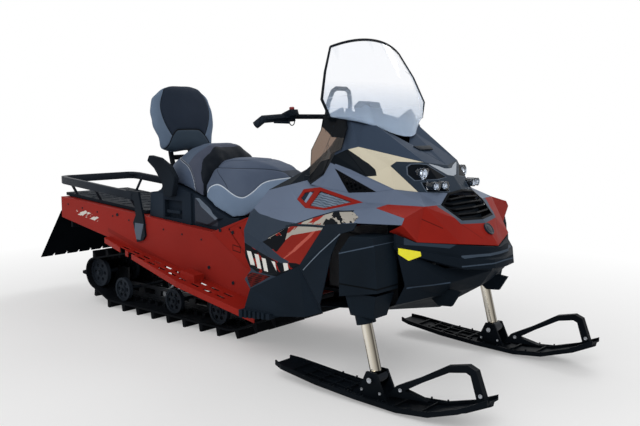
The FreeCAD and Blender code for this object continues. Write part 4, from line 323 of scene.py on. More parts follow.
LAMP_WELLS = [
    [(0.1926, 0.8962), (0.1768, 0.906), (0.1512, 0.9069), (0.1255, 0.9033), (0.0525, 0.8522),
     (0.1094, 0.8469), (0.1884, 0.8433), (0.2022, 0.8665)],
    [(0.17, 0.835), (0.085, 0.837), (0.083, 0.7975), (0.1655, 0.7965), (0.169, 0.8164)]]
RIM_WIDTH = 0.004
LAMP_RIMS = [swollen(outline, RIM_WIDTH) for outline in LAMP_WELLS]
FILM_EDGE_COLOUR = "1f2933"


def slanting_bars(spots, width=0.03, lean=-0.4):
    """Outlines of slanting bars, a bare stripe in the lower field."""
    bars = []
    for x, low, high in spots:
        run = (high - low) * lean
        bars.append([(x, low), (x + width, low), (x + width + run, high), (x + run, high)])
    return bars


def lower_field(look, spots):
    """Near-black field with red strokes and pale slanting bars."""
    field = look.regions(LOWER_FIELD)
    look.paint(field, "0f1318")
    look.paint(look.times(field, look.streaks(16.0, -30, 0.57, (0.5, 1, 1.6))), "8a221b")
    look.paint(look.times(field, look.regions(slanting_bars(spots))), "dfded9")


def side_panel_look():
    """Slate panel: a dark field of painted shade below the shoulder bulge, pale torn strip, black window and
    the lower field.
    """
    look = moulded("slate_side_panel", "6b788d", "626e83", (0.42, 0.54), 2.5, shine=0.03)
    # Painted shade below the shoulder bulge, a darker slate than the panel
    look.fill(PAINTED_SHADE_FIELD, "313b48")
    look.fill(CHEEK_BLACK, "10161c", rough=0.2)
    strip = look.regions(WING_STRIP)
    look.paint(strip, "a9a49b")
    stroke = look.streaks(20.0, 35, 0.47, (0.4, 1, 1.8))
    middle = look.region([(0.7, 0.58), (0.84, 0.58), (0.91, 0.8), (0.77, 0.8)])
    look.paint(look.times(strip, look.times(stroke, middle)), "962820")
    torn = look.streaks(26.0, -18, 0.5, (0.55, 1, 1.5))
    front = look.region([(0.86, 0.6), (1.2, 0.6), (1.2, 0.8), (0.92, 0.8)])
    look.paint(look.times(strip, look.times(torn, front)), "0d1116")
    look.draw(STRIP_EDGE, 0.005, "1a222c")
    look.draw(FILM_EDGE, 0.01, FILM_EDGE_COLOUR)
    lower_field(look, [(0.425, 0.448, 0.508), (0.476, 0.44, 0.5), (0.527, 0.436, 0.49)])
    holes = look.regions(PERFORATED)
    look.paint(holes, "561613")
    pin = look.sums("LESS_THAN", look.cells(110.0, Randomness=0.0), 0.46)
    return look.paint(look.times(holes, pin), "07090b")


def insert_look():
    """Printed film under clear coat: grey and black torn field over a red one with slanting strokes."""
    look = moulded("insert_film", "8f2a22", "7f221b", (0.3, 0.4), 4.0, depth=0.0001, shine=0.03)
    look.paint(look.streaks(17.0, 38, 0.6, (0.25, 1, 2.6)), "b4574b")
    pale = look.regions(PALE_FIELD)
    look.paint(look.times(pale, look.streaks(11.0, 40, 0.44, (0.35, 1, 2.2))), "a7a39b")
    near = look.regions(SPLATTER)
    look.paint(look.times(near, look.streaks(15.0, -20, 0.44, (0.5, 1, 1.7))), "0c1015")
    lower_field(look, [(0.59, 0.442, 0.486), (0.668, 0.456, 0.49)])
    look.fill(BAND, "313b48")
    return look.draw(FILM_EDGE, 0.01, FILM_EDGE_COLOUR)


def lamp_look():
    """Gloss slate housing, black wells with pale rims round the lamps, a light strip under the cowl."""
    look = moulded("gloss_lamp_housing", "2f3a47", "26303b", (0.2, 0.3), depth=0.0001, shine=0.04)
    look.fill(LAMP_RIMS, "56616f", "Y")
    look.fill(LAMP_WELLS, "0b1016", "Y")
    look.fill([[(0.112, 0.9085), (0.1, 0.899), (0.034, 0.8595), (0.03, 0.886), (0.06, 0.897)],
               [(0.034, 0.8595), (0.03, 0.886), (-0.01, 0.884), (-0.01, 0.853)]], "aeb6c0", "Y")
    return look


def deflector_look():
    """Bronze tinted sheet, its upper part and lower edge printed black."""
    look = clear("bronze_shield", "7b675a", 0.05)
    black = look.regions([
        [(0.6, 1.022), (0.6, 1.2), (0.9, 1.2), (0.9, 0.96), (0.8, 0.985), (0.775, 1.015)],
        [(0.64, 0.8), (0.64, 0.86), (0.7, 0.905), (0.73, 0.912), (0.775, 0.965), (0.9, 0.99), (0.9, 0.8)]])
    printed = look.add("ShaderNodeBsdfPrincipled")
    look.feed(printed, [("Base Color", linear("0d1116")), ("Roughness", 0.16), ("Specular IOR Level", 0.08)])
    return look.overlay(black, printed.outputs[0])


def shield_look():
    """Clear sheet with a painted pale blue reflection, stronger towards its foot, and painted reflection
    streaks from noise.
    """
    look = clear("clear_shield", "fbfcff", 0.02)
    # Painted reflection: a pale blue diffuse veil mixed over the clear sheet, stronger low down, with streaks
    # from noise
    film = look.add("ShaderNodeBsdfDiffuse", Color=linear("c6dcf6"))
    low = look.ranged(look.axes()["Z"], 1.26, 1.06, 0.0, 0.5)
    reflection_streaks = look.ramp(look.noise(3.0, 1.0, (1, 2.4, 0.5)), [(0.5, 0.0), (0.62, 0.16)])
    return look.overlay(look.sums("ADD", look.sums("MAXIMUM", low, 0.02), reflection_streaks), film.outputs[0])


def vent_look():
    """Slate louvre insert with long wavy slots darkened as painted shade, a dark field in the small opening
    behind it and a painted highlight there.
    """
    look = moulded("vent_louvres", "7c8b9c", "6f7d8e", (0.45, 0.58), 6.0, 700.0, 0.0004, shine=0.05)
    parts = look.axes()
    wave = look.times(look.sums("SINE", look.times(parts["X"], 190.0)), 0.0011)
    slope = look.sums("MULTIPLY_ADD", parts["X"], 0.11, parts["Z"])
    rows = look.sums("FRACT", look.times(look.sums("ADD", slope, wave), 115.0))
    # Painted shade in the slots: the slot rows coloured darker
    look.paint(look.sums("LESS_THAN", rows, 0.3), "4e5c6b")
    look.bump(rows, 0.5, 0.002)
    look.fill([[(0.6, 0.7), (0.7165, 0.7), (0.7165, 0.8), (0.6, 0.8)]], "1c2734")
    # Painted highlight in the small opening
    return look.fill([[(0.675, 0.737), (0.69, 0.737), (0.7, 0.777), (0.682, 0.781)]], "7f8ea4")


def base_look():
    """Black seat base with grey wedge panels and a pale grey edge above them."""
    look = moulded("seat_base_plastic", "1e2732", "161e28", (0.45, 0.58), 3.0, 700.0, 0.0005, shine=0.03)
    for outline, colour in (
            ([(-0.2, 0.56), (-0.2, 0.69), (-0.165, 0.683), (-0.02, 0.598), (-0.03, 0.556)], "373c46"),
            ([(-0.195, 0.69), (-0.165, 0.69), (-0.012, 0.6), (-0.03, 0.59), (-0.17, 0.672)], "66717f"),
            ([(-0.555, 0.53), (-0.555, 0.7), (-0.44, 0.7), (-0.44, 0.53)], "262f3a")):
        look.fill([outline], colour)
    return look


def tunnel_look():
    """Brick red sheet with torn pale strokes near its tail and a darker foot."""
    look = moulded("tunnel_red", "952a24", "86231d", (0.4, 0.52), 2.2, 1400.0, 0.0002, shine=0.05)
    patch = look.region([(-1.215, 0.556), (-1.205, 0.53), (-1.0, 0.505), (-0.98, 0.527), (-1.12, 0.56)])
    look.paint(look.times(patch, look.streaks(30.0, 20, 0.5, (0.35, 1, 2.6))), "d5cfc8")
    foot = look.region([(-0.9, 0.455), (-0.9, 0.478), (0.2, 0.205), (0.2, 0.17)])
    return look.paint(look.times(foot, 0.35), "5e1611")


def nose_look():
    """Brick red nose, a slate rim round the grille and painted shade along its pressed creases."""
    look = brick_red("brick_red_nose", 3.0, 1200.0)
    look.fill([[(-0.01, 0.668), (0.0821, 0.6725), (0.1455, 0.6763), (0.1654, 0.7114), (-0.01, 0.7114)],
               [(-0.01, 0.7114), (0.1654, 0.7114), (0.1981, 0.7415), (0.1981, 0.8), (-0.01, 0.8)]],
              "4b5665", "Y")
    # Painted shade along the pressed creases, the softer one at half strength
    look.draw([(0.2413, 0.6663), (0.3037, 0.7048)], 0.0045, "571410", "Y")
    soft_crease_shade = look.regions(stripe([(0.0686, 0.6138), (0.1138, 0.6509), (0.1561, 0.682)], 0.006), "Y")
    return look.paint(look.times(soft_crease_shade, 0.5), "6a1813")


def grip_look():
    """Rubber grip with fine turned ribs."""
    look = moulded("grip_rubber", "252d37", "1a2129", (0.55, 0.72), 5.0, shine=0.04)
    ribs = look.sums("SINE", look.times(look.axes()["Y"], 900.0))
    look.bump(ribs, 0.6, 0.0012)
    return look.paint(look.times(look.sums("GREATER_THAN", ribs, 0.4), 0.4), "0c1014")


def leg_look():
    """Nickel leg with painted reflections as light and dark stripes along it, and a black foot inside the
    ski's saddle.
    """
    look = moulded("leg_nickel", "c9c2b4", "a39c90", (0.1, 0.18), 12.0, depth=0.0001, metal=1.0)
    parts = look.axes()
    lean, rise, middle, radius = 0.968, 0.252, 1.1347, 0.027
    across = look.sums("MULTIPLY_ADD", parts["Z"], rise / radius / 2, 0.5 - middle / radius / 2)
    across = look.sums("MULTIPLY_ADD", parts["X"], lean / radius / 2, across)
    # Painted reflections: stripes of light and dark round the tube, standing in for what the nickel mirrors
    painted_reflection_bands = ((0.0, "8d877c"), (0.18, "5f5a51"), (0.27, "d8d1c3"), (0.5, "f3eee2"), (0.68, "c2bbad"),
             (0.84, "8b857a"), (0.91, "423e37"), (0.96, "e8e2d4"))
    look.tint(look.ramp(across, [(spot, linear(code)) for spot, code in painted_reflection_bands]))
    return look.fill([[(0.9, 0.0), (1.4, 0.0), (1.4, 0.128), (0.9, 0.128)]], "14181e")


def plate_look():
    """Brick red side plate with a small pressed frame."""
    look = brick_red("plate_red")
    outer = look.region([(0.132, 0.458), (0.19, 0.45), (0.19, 0.482), (0.132, 0.49)])
    inner = look.region([(0.137, 0.463), (0.185, 0.4565), (0.185, 0.477), (0.137, 0.4835)])
    return look.paint(look.sums("SUBTRACT", outer, inner), "4f120e")


looks = {
    "red_paint": brick_red("brick_red_paint", coat=0.05),
    "red_plastic": brick_red("brick_red_plastic", 3.0, 1200.0),
    "slate_plastic": moulded("slate_plastic", "6b788d", "626e83", (0.36, 0.48), 2.5, shine=0.06),
    "dark_slate_plastic": moulded("dark_slate_plastic", "3f4b5c", "374354", (0.5, 0.62), 2.5, shine=0.02),
    "black_plastic": matt_black("black_plastic"),
    "gloss_black_plastic": moulded("gloss_black_plastic", "131a22", "0d1319", (0.2, 0.3), depth=0.0001,
                                   shine=0.04),
    "black_mesh": moulded("black_mesh", "0c0f13", "07090c", (0.4, 0.55), shine=0.03),
    "yellow_reflector": moulded("yellow_reflector", "f6ee1c", "efe510", (0.14, 0.22), 20.0, 500.0, 0.0002),
    "track_rubber": moulded("track_rubber", "101318", "07090c", (0.62, 0.8), 8.0, 500.0, 0.0008, shine=0.04),
    "axle_steel": moulded("axle_steel", "8a8c90", "7a7c80", (0.3, 0.42), 6.0, depth=0.0002, metal=1.0),
    "wheel_plastic": moulded("wheel_plastic", "252b33", "1a1f26", (0.45, 0.62), 8.0, shine=0.04),
    "rail_aluminium": moulded("rail_black_anodised", "1c2026", "14171c", (0.34, 0.5), 4.0, depth=0.0002,
                              metal=0.4),
    "silver_arm": moulded("bare_aluminium", "b4b8be", "a0a4aa", (0.28, 0.42), 8.0, depth=0.0003, metal=1.0),
    "shock_steel": moulded("shock_black", "1a1d22", "111418", (0.3, 0.45), 6.0, shine=0.08),
    "frame_paint": moulded("frame_powder_coat", "14181e", "0d1014", (0.45, 0.6), 5.0, shine=0.05),
    "engine_iron": moulded("engine_casting", "4a4c50", "3a3c40", (0.5, 0.7), 10.0, 300.0, 0.001, metal=0.5),
    "deck_plastic": moulded("deck_plastic", "1d242c", "161c23", (0.46, 0.62), 3.0, 600.0, 0.0007, shine=0.03),
    "rack_paint": moulded("rack_satin_black", "262c34", "1c2128", (0.3, 0.42), 5.0, shine=0.05),
    "red_lens": moulded("red_lens", "8e1012", "7a0c0e", (0.1, 0.18), 20.0),
    "seat_vinyl": moulded("seat_vinyl", "4f5a6b", "455061", (0.45, 0.6), 4.0, shine=0.12),
    "handle_rubber": moulded("handle_rubber", "1d242c", "14191f", (0.55, 0.72), 5.0, shine=0.03),
    "flap_rubber": moulded("flap_rubber", "0b0e12", "05080b", (0.5, 0.68), 4.0, shine=0.0),
    "ski_plastic": moulded("ski_plastic", "10151b", "090d11", (0.4, 0.56), 5.0, 600.0, 0.0005, shine=0.03),
    "clear_lens": clear("clear_lens", "f4f8ff", 0.04),
    "clear_shield": shield_look(),
    "bronze_shield": deflector_look(),
}
own_look = {
    "side_panels": side_panel_look(),
    "side_inserts": insert_look(),
    "cheek_panels": moulded("cream_cheek", "dad3be", "d0c8b1", (0.3, 0.42), 3.0, 1200.0, 0.0002, shine=0.08)
    .fill(CHEEK_BLACK, "10161c", rough=0.2),
    "lamp_housing": lamp_look(),
    # Lower pad coloured lighter grey and glossier
    "rack_brackets": moulded("rack_bracket_plastic", "161e27", "10171e", (0.36, 0.48), 3.0, 700.0, 0.0004,
                             shine=0.05)
    .fill([[(-0.64, 0.44), (-0.585, 0.44), (-0.555, 0.53), (-0.63, 0.53)]], "56616f", rough=0.25),
    "vent_grilles": vent_look(),
    "seat_base": base_look(),
    "tunnel": tunnel_look(),
    "nose_cone": nose_look(),
    # Slate brow under the nose; painted highlights on the top face of the upper lip and along the lower lip
    "front_bumper": matt_black("bumper_plastic")
    .fill(between([(y, 0.64) for y, z in BROW], BROW), "303c49", "Y")
    .fill([[(-0.01, 0.5495), (0.2, 0.5495), (0.2, 0.56), (-0.01, 0.56)]], "465260", "Y")
    .draw([(-0.01, 0.527), (0.1, 0.5225), (0.215, 0.52)], 0.005, "3f4b59", "Y"),
    # Painted highlight along the crease
    "lower_fairings": matt_black("fairing_plastic", "1a232d", "131b23")
    .draw([(0.7811, 0.4758), (0.8844, 0.5638), (0.9961, 0.6482)], 0.005, "6f7b88"),
    # Painted highlight along the lip, and a dark line at the foot
    "leg_covers": matt_black("leg_cover_plastic", "18212a", "121920")
    .draw([(0.98, 0.568), (1.0097, 0.5766), (1.1658, 0.6193)], 0.0045, "465362")
    .draw([(0.98, 0.455), (1.2, 0.455)], 0.006, "05080b"),
    # Thin painted highlight across the belly pan
    "belly_pan": matt_black("belly_plastic")
    .draw([(0.23, 0.454), (0.3, 0.4485), (0.39, 0.444)], 0.006, "3a4756", "Y"),
    "grips": grip_look(),
    "side_plates": plate_look(),
}
own_look["ski_leg_right"] = own_look["ski_leg_left"] = leg_look()
reflector = moulded("lamp_reflector", "dfe6ee", "c6ced8", (0.08, 0.16), 20.0, depth=0.0001, metal=1.0)
bezel_black = moulded("lamp_bezel_black", "26303b", "1a222b", (0.25, 0.35), 20.0, depth=0.0001, shine=0.1)
boss_black = moulded("nose_boss", "1d2833", "15202a", (0.3, 0.4), 20.0, depth=0.0001, shine=0.2)

# Edge radius in metres of the CAD pieces that are rounded, where faces meet at 22 degrees or more
ROUNDED = {
    0.002: ("side_inserts", "running_boards", "side_plates", "ski_left", "ski_right", "track", "snow_flap",
            "tow_hitch"),
    0.003: ("vent_frames", "hood", "hood_grille", "lamp_housing", "tunnel", "rack_brackets", "rack_deck"),
    0.004: ("side_panels", "lower_fairings", "nose_cone", "cheek_panels", "upper_cowl", "belly_pan",
            "console", "front_bumper", "leg_covers", "tail_lamp", "gauge_pod"),
    0.006: ("engine_block",), 0.007: ("passenger_handles",), 0.008: ("seat_base",),
}
MERGE = 0.00005
ROUND_FROM = 22


def dress(piece, look):
    piece.data.materials.clear()
    piece.data.materials.append(look.material)


def rounding(piece, label, radius, angle):
    bevel = piece.modifiers.new(label, "BEVEL")
    bevel.width = radius
    bevel.segments = 2
    bevel.limit_method = "ANGLE"
    bevel.angle_limit = math.radians(angle)


for name, node in nodes.items():
    dress(node, own_look.get(name) or looks[slot_of[name]])
for radius, names in ROUNDED.items():
    for name in names:
        nodes[name].modifiers.new("weld", "WELD").merge_threshold = MERGE
        rounding(nodes[name], "bevel", radius, ROUND_FROM)


# Shaping helpers

def only(piece):
    bpy.ops.object.select_all(action="DESELECT")
    piece.select_set(True)
    bpy.context.view_layer.objects.active = piece


def edit():
    bpy.ops.object.mode_set(mode="EDIT")


def leave():
    bpy.ops.object.mode_set(mode="OBJECT")


def choose(action):
    bpy.ops.mesh.select_all(action=action)


def extrude(move):
    bpy.ops.mesh.extrude_region_move(TRANSFORM_OT_translate={"value": move})


def smooth(piece, label, times):
    modifier = piece.modifiers.new(label, "SMOOTH")
    modifier.factor = 0.5
    modifier.iterations = times


def bake(piece):
    only(piece)
    for modifier in list(piece.modifiers):
        bpy.ops.object.modifier_apply(modifier=modifier.name)


def copied(name, node_name):
    """A copy of a CAD piece, its doubled vertices merged, left in edit mode with all selected."""
    piece = bpy.data.objects.new(name, nodes[node_name].data.copy())
    bpy.context.collection.objects.link(piece)
    only(piece)
    edit()
    choose("SELECT")
    bpy.ops.mesh.remove_doubles(threshold=0.0002)
    return piece


def rows_of(mesh, kind):
    flat = np.empty(len(mesh.vertices) * 3)
    mesh.vertices.foreach_get(kind, flat)
    return flat.reshape(-1, 3)


def spots_of(mesh):
    return rows_of(mesh, "co")


def normals_of(mesh):
    return rows_of(mesh, "normal")


def place_spots(mesh, spots):
    mesh.vertices.foreach_set("co", spots.ravel())
    mesh.update()


def mark(mesh, label, values):
    mesh.attributes.new(label, "FLOAT", "POINT").data.foreach_set("value", values)


def eased(line, times=2):
    """The line with its corners cut, ends kept."""
    for _ in range(times):
        cut = [line[0]]
        for a, b in zip(line, line[1:]):
            for share in (0.25, 0.75):
                cut.append(tuple((1 - share) * p + share * q for p, q in zip(a, b)))
        line = cut + [line[-1]]
    return line


def off_line(flat, line):
    """Signed distance from a seam line and the run along it, for rows of two coordinates."""
    best = np.full(len(flat), 9.0)
    sign = np.ones(len(flat))
    run = np.zeros(len(flat))
    done = 0.0
    last = len(line) - 2
    for i, (a, b) in enumerate(zip(line, line[1:])):
        a, b = np.array(a), np.array(b)
        step = b - a
        length = np.linalg.norm(step)
        share = ((flat - a) @ step) / length ** 2
        held = np.clip(share, 0, 1)
        rest = flat - a - held[:, None] * step
        away = np.linalg.norm(rest, axis=1)
        nearer = away < best
        best[nearer] = away[nearer]
        run[nearer] = (done + held * length)[nearer]
        side = np.where(step[0] * rest[:, 1] - step[1] * rest[:, 0] < 0, -1.0, 1.0)
        side[((share < 0) & (i == 0)) | ((share > 1) & (i == last))] = 1.0
        sign[nearer] = side[nearer]
        done += length
    return best * sign, run


def within(flat, outline):
    """True inside a closed outline, for rows of two coordinates."""
    inside = np.zeros(len(flat), bool)
    for (x0, y0), (x1, y1) in sides_of(outline):
        if y0 == y1:
            continue
        crosses = (flat[:, 1] > min(y0, y1)) & (flat[:, 1] <= max(y0, y1))
        reach = x0 + (flat[:, 1] - y0) * (x1 - x0) / (y1 - y0)
        inside ^= crosses & (flat[:, 0] < reach)
    return inside


# Each view's two coordinates, and the one of them that runs across the machine
VIEWS = {"side": (0, 2), "front": (1, 2), "plan": (0, 1)}
MIRRORED = {"front": 0, "plan": 1}


def seen(spots, view):
    """Two coordinates of each spot as the side, the front or the plan shows it, left like right."""
    flat = spots[:, VIEWS[view]].copy()
    if view in MIRRORED:
        flat[:, MIRRORED[view]] = np.abs(flat[:, MIRRORED[view]])
    return flat


def faces_view(turns, view):
    """True where the surface can be seen in the view."""
    return {"side": np.abs(turns[:, 1]) > 0.25, "front": turns[:, 0] > 0.15, "plan": turns[:, 2] > 0.4,
            "any": np.ones(len(turns), bool)}[view]


# Seats

SEAM_REACH = 0.05
SEAM_HOLD = STITCH_OFF = 0.0045
UNDERSIDE = -0.75
CLOTH_STEPS = 20
COVER_GRID = 0.006


def seam(view, line, piping=0.0016, tone="2b3340", depth=0.003, width=0.005, on=None, stitch=False):
    """A sewn line, the view it is traced in, how far it sinks, and its piping."""
    return {"view": view, "line": line, "piping": piping, "tone": tone, "depth": depth, "width": width,
            "on": on or view, "stitch": stitch}


def seam_offsets(piece, seams):
    spots, turns = spots_of(piece.data), normals_of(piece.data)
    rows = []
    for sewn in seams:
        off, run = off_line(seen(spots, sewn["view"]), eased(sewn["line"]))
        off[~faces_view(turns, sewn["on"])] = SEAM_REACH
        rows.append((np.clip(off, -SEAM_REACH, SEAM_REACH), run))
    return rows


def blown_up(piece, seams, pressure, cap):
    """Cloth under pressure, held at its seams and its underside, no spot moved further than the cap."""
    mesh = piece.data
    start = spots_of(mesh)
    held = piece.vertex_groups.new(name="sewn")
    fixed = normals_of(mesh)[:, 2] < UNDERSIDE
    for off, run in seam_offsets(piece, seams):
        fixed |= np.abs(off) < SEAM_HOLD
    held.add([int(i) for i in np.flatnonzero(fixed)], 1.0, "REPLACE")
    cloth = piece.modifiers.new("cover", "CLOTH").settings
    cloth.use_pressure = True
    cloth.uniform_pressure_force = pressure
    cloth.effector_weights.gravity = 0
    cloth.vertex_group_mass = "sewn"
    cloth.quality = 4
    scene = bpy.context.scene
    for step in range(1, CLOTH_STEPS + 1):
        scene.frame_set(step)
    bake(piece)
    scene.frame_set(1)
    moved = spots_of(mesh) - start
    far = np.linalg.norm(moved, axis=1)
    place_spots(mesh, start + moved * np.minimum(1.0, cap / np.maximum(far, 1e-6))[:, None])
    piece.vertex_groups.clear()


def sewn_pad(name, node_name, seams, fields, inset, cap, look, ease=14, pressure=4.0, calm=3):
    """Sewn pad: the core's shape, its panels blown up between seams that hold, then its seams sunk."""
    piece = copied(name, node_name)
    bpy.ops.mesh.normals_make_consistent(inside=False)
    leave()
    remesh = piece.modifiers.new("cover", "REMESH")
    remesh.mode = "VOXEL"
    remesh.voxel_size = COVER_GRID
    smooth(piece, "ease", ease)
    bake(piece)
    mesh = piece.data
    place_spots(mesh, spots_of(mesh) - normals_of(mesh) * inset)
    blown_up(piece, seams, pressure, cap)
    smooth(piece, "settle", calm)
    finer = piece.modifiers.new("finer", "SUBSURF")
    finer.levels = finer.render_levels = 1
    bake(piece)
    mesh = piece.data
    rows = seam_offsets(piece, seams)
    spots, turns = spots_of(mesh), normals_of(mesh)
    sink = np.zeros(len(spots))
    for sewn, (off, run) in zip(seams, rows):
        sink = np.maximum(sink, sewn["depth"] * np.exp(-(off / sewn["width"]) ** 2))
    place_spots(mesh, spots - turns * sink[:, None])
    for i, (off, run) in enumerate(rows):
        mark(mesh, "seam_%d" % i, off)
        mark(mesh, "run_%d" % i, run)
    for label, view, outline in fields:
        inside = within(seen(spots, view), outline) & faces_view(turns, "any" if view == "side" else view)
        mark(mesh, label, inside.astype(float))
    for polygon in mesh.polygons:
        polygon.use_smooth = True
    dress(piece, look)
    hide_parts(node_name)
    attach(piece, "chassis")


def vinyl(name, base, fields, seams):
    """Pebbled seat vinyl in several colours, with dark piping and pale stitches along its seams."""
    look = moulded(name, base[0], base[1], (0.5, 0.64), 6.0, 1500.0, 0.0001, shine=0.06)
    look.bump(look.cells(620.0), 0.35, 0.0004)
    look.bump(look.noise(16.0, 5.0, (1, 1, 1.6)), 0.25, 0.004)

    def read(label):
        return look.add("ShaderNodeAttribute", attribute_name=label).outputs["Fac"]

    for label, (light, dark) in fields:
        drift = look.ramp(look.noise(5.0, 4.0), [(0.3, 0.0), (0.7, 1.0)])
        tone = look.blend(drift, linear(light), linear(dark))
        look.paint(look.sums("GREATER_THAN", read(label), 0.5), tone)
    for i, sewn in enumerate(seams):
        off = look.sums("ABSOLUTE", read("seam_%d" % i))
        if sewn["piping"]:
            look.paint(look.sums("LESS_THAN", off, sewn["piping"]), sewn["tone"])
        if sewn["stitch"]:
            beside = look.sums("ABSOLUTE", look.sums("SUBTRACT", off, STITCH_OFF))
            beside = look.sums("LESS_THAN", beside, 0.0009)
            dash = look.sums("FRACT", look.times(read("run_%d" % i), 130.0))
            dash = look.sums("LESS_THAN", dash, 0.62)
            look.paint(look.times(beside, dash), "c9ccd0")
    return look


# Seams and coloured panels, traced over the pads in metres

WAVE_LINE = [(-0.15, 0.7), (-0.127, 0.722), (-0.11, 0.749), (-0.0565, 0.769), (-0.008, 0.755), (0.05, 0.726),
             (0.096, 0.707), (0.134, 0.709), (0.178, 0.742), (0.207, 0.779), (0.241, 0.7955), (0.291, 0.806),
             (0.335, 0.8115), (0.42, 0.815)]
DRIVER_SEAMS = [
    seam("side", WAVE_LINE, 0.0026, "c3ccd6"),
    seam("side", [(-0.138, 0.846), (-0.04, 0.849), (0.0585, 0.8502), (0.188, 0.85), (0.25, 0.843),
                  (0.284, 0.8336), (0.33, 0.807)], on="any"),
    seam("plan", [(-0.15, 0.112), (-0.087, 0.1), (0.0, 0.098), (0.065, 0.088), (0.098, 0.045),
                  (0.108, -0.01)]),
    seam("side", [(-0.12, 0.846), (-0.059, 0.816), (0.0, 0.772), (0.021, 0.748)], 0.0014, depth=0.002,
         width=0.004),
]
SCOOP = [(-0.2, 0.59), (-0.2, 0.69)] + WAVE_LINE[:-1] + [(0.45, 0.815), (0.45, 0.59)]

BOLSTER_LINE = [(-0.48, 0.905), (-0.42, 0.893), (-0.369, 0.8767), (-0.3, 0.857), (-0.26, 0.8365),
                (-0.234, 0.8095), (-0.217, 0.7767), (-0.206, 0.735), (-0.202, 0.69)]
PASSENGER_SEAMS = [
    seam("side", BOLSTER_LINE, tone="20262e", stitch=True),
    seam("plan", [(-0.3, 0.2), (-0.278, 0.175), (-0.244, 0.136), (-0.228, 0.091), (-0.224, 0.043),
                  (-0.224, -0.01)], 0.0, depth=0.004, width=0.007),
]
BOLSTER = BOLSTER_LINE[4:8] + [(-0.202, 0.65), (-0.1, 0.65), (-0.1, 1.05), (-0.222, 1.05), (-0.23, 0.95),
                               (-0.25, 0.91), (-0.285, 0.86)]
ARCH = [(-0.15, 0.65), (-0.148, 0.764), (-0.171, 0.817), (-0.177, 0.872), (-0.181, 0.92), (-0.19, 0.955),
        (-0.1, 0.97), (-0.1, 0.65)]

SHELL_LINE = [(0.072, 1.3), (0.111, 1.272), (0.136, 1.243), (0.161, 1.1989), (0.172, 1.16), (0.17, 1.1231),
              (0.157, 1.0769), (0.14, 1.043), (0.118, 1.006)]
FOOT_LINE = [(-0.01, 1.037), (0.06, 1.037), (0.084, 1.033), (0.116, 1.003), (0.14, 0.965), (0.158, 0.935),
             (0.166, 0.895)]
BACKREST_SEAMS = [
    seam("front", SHELL_LINE, 0.0022, "10151b", 0.0045, 0.006),
    seam("front", FOOT_LINE, 0.0032, "080b0f", 0.0045, 0.006),
]
CENTRE = [(-0.01, 1.31), (0.06, 1.31)] + SHELL_LINE[1:8]
CENTRE += [(0.118, 1.003), (0.084, 1.033), (0.06, 1.037), (-0.01, 1.037)]
FOOT = FOOT_LINE[:6] + [(0.166, 0.89), (-0.01, 0.89)]

driver_vinyl = vinyl("driver_seat_vinyl", ("545f72", "4a5568"), [("scoop", ("7688a0", "6b7d94"))],
                     DRIVER_SEAMS)
passenger_vinyl = vinyl("passenger_seat_vinyl", ("536072", "48546a"),
                        [("bolster", ("4a5060", "414757")), ("arch", ("1a1f27", "151a21"))], PASSENGER_SEAMS)
backrest_vinyl = vinyl("backrest_vinyl", ("66778c", "5b6b80"),
                       [("centre", ("262f3d", "202936")), ("foot", ("35424f", "2d3946"))], BACKREST_SEAMS)
sewn_pad("driver_seat_cover", "driver_seat", DRIVER_SEAMS, [("scoop", "side", SCOOP)], 0.006, 0.014,
         driver_vinyl)
sewn_pad("passenger_seat_cover", "passenger_seat", PASSENGER_SEAMS,
         [("bolster", "side", BOLSTER), ("arch", "side", ARCH)], 0.004, 0.01, passenger_vinyl, 30, 2.0, 34)
sewn_pad("backrest_cover", "backrest_pad", BACKREST_SEAMS,
         [("centre", "front", CENTRE), ("foot", "front", FOOT)], 0.006, 0.02, backrest_vinyl, 44, 4.0, 30)


# Hard pieces, each shaped from a primitive

def pick(piece, test, kind="FACE"):
    """Select, in edit mode, the faces or vertices that pass a test."""
    only(piece)
    edit()
    bpy.ops.mesh.select_mode(type=kind)
    choose("DESELECT")
    leave()
    for part in piece.data.polygons if kind == "FACE" else piece.data.vertices:
        part.select = bool(test(part))
    edit()


def on_top(face):
    return face.normal.z > 0.9


def in_front(face):
    return face.normal.x > 0.9


def pressed(piece, test, *steps):
    """Inset the picked faces in steps of width and rise."""
    pick(piece, test)
    for width, rise in steps:
        bpy.ops.mesh.inset(thickness=width, depth=rise)
    leave()


def drawn_in(piece, test, shares):
    """Scale the picked faces."""
    pick(piece, test)
    bpy.ops.transform.resize(value=shares)
    leave()


def aimed(facing):
    return Vector(facing).to_track_quat("Z", "Y").to_euler()


def disc(place, facing, radius, depth, sides=16):
    bpy.ops.object.select_all(action="DESELECT")
    bpy.ops.mesh.primitive_cylinder_add(vertices=sides, radius=radius, depth=depth, location=place,
                                        rotation=aimed(facing))
    return bpy.context.object


def block(place, size, turn=(0, 0, 0)):
    bpy.ops.object.select_all(action="DESELECT")
    bpy.ops.mesh.primitive_cube_add(size=1, location=place, rotation=turn)
    piece = bpy.context.object
    piece.scale = size
    return piece


def settled(pieces, name, slot, edge, look=None, body="chassis"):
    """Join the pieces, put their place in the mesh, round their edges and hang them on a body."""
    piece = pieces[0]
    only(piece)
    for other in pieces:
        other.select_set(True)
    bpy.ops.object.transform_apply(location=True, rotation=True, scale=True)
    if len(pieces) > 1:
        bpy.ops.object.join()
    piece.name = name
    if edge:
        rounding(piece, "edge", edge, 35)
        bake(piece)
    only(piece)
    edit()
    choose("SELECT")
    bpy.ops.mesh.normals_make_consistent(inside=False)
    leave()
    bpy.ops.object.shade_smooth_by_angle(angle=math.radians(40))
    dress(piece, look or looks[slot])
    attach(piece, body)


def screw(place, facing, radius):
    """Cap screw with a sunk socket."""
    piece = disc(place, facing, radius, 0.006)
    pressed(piece, on_top, (radius * 0.4, 0), (0.0004, -0.0024))
    return piece


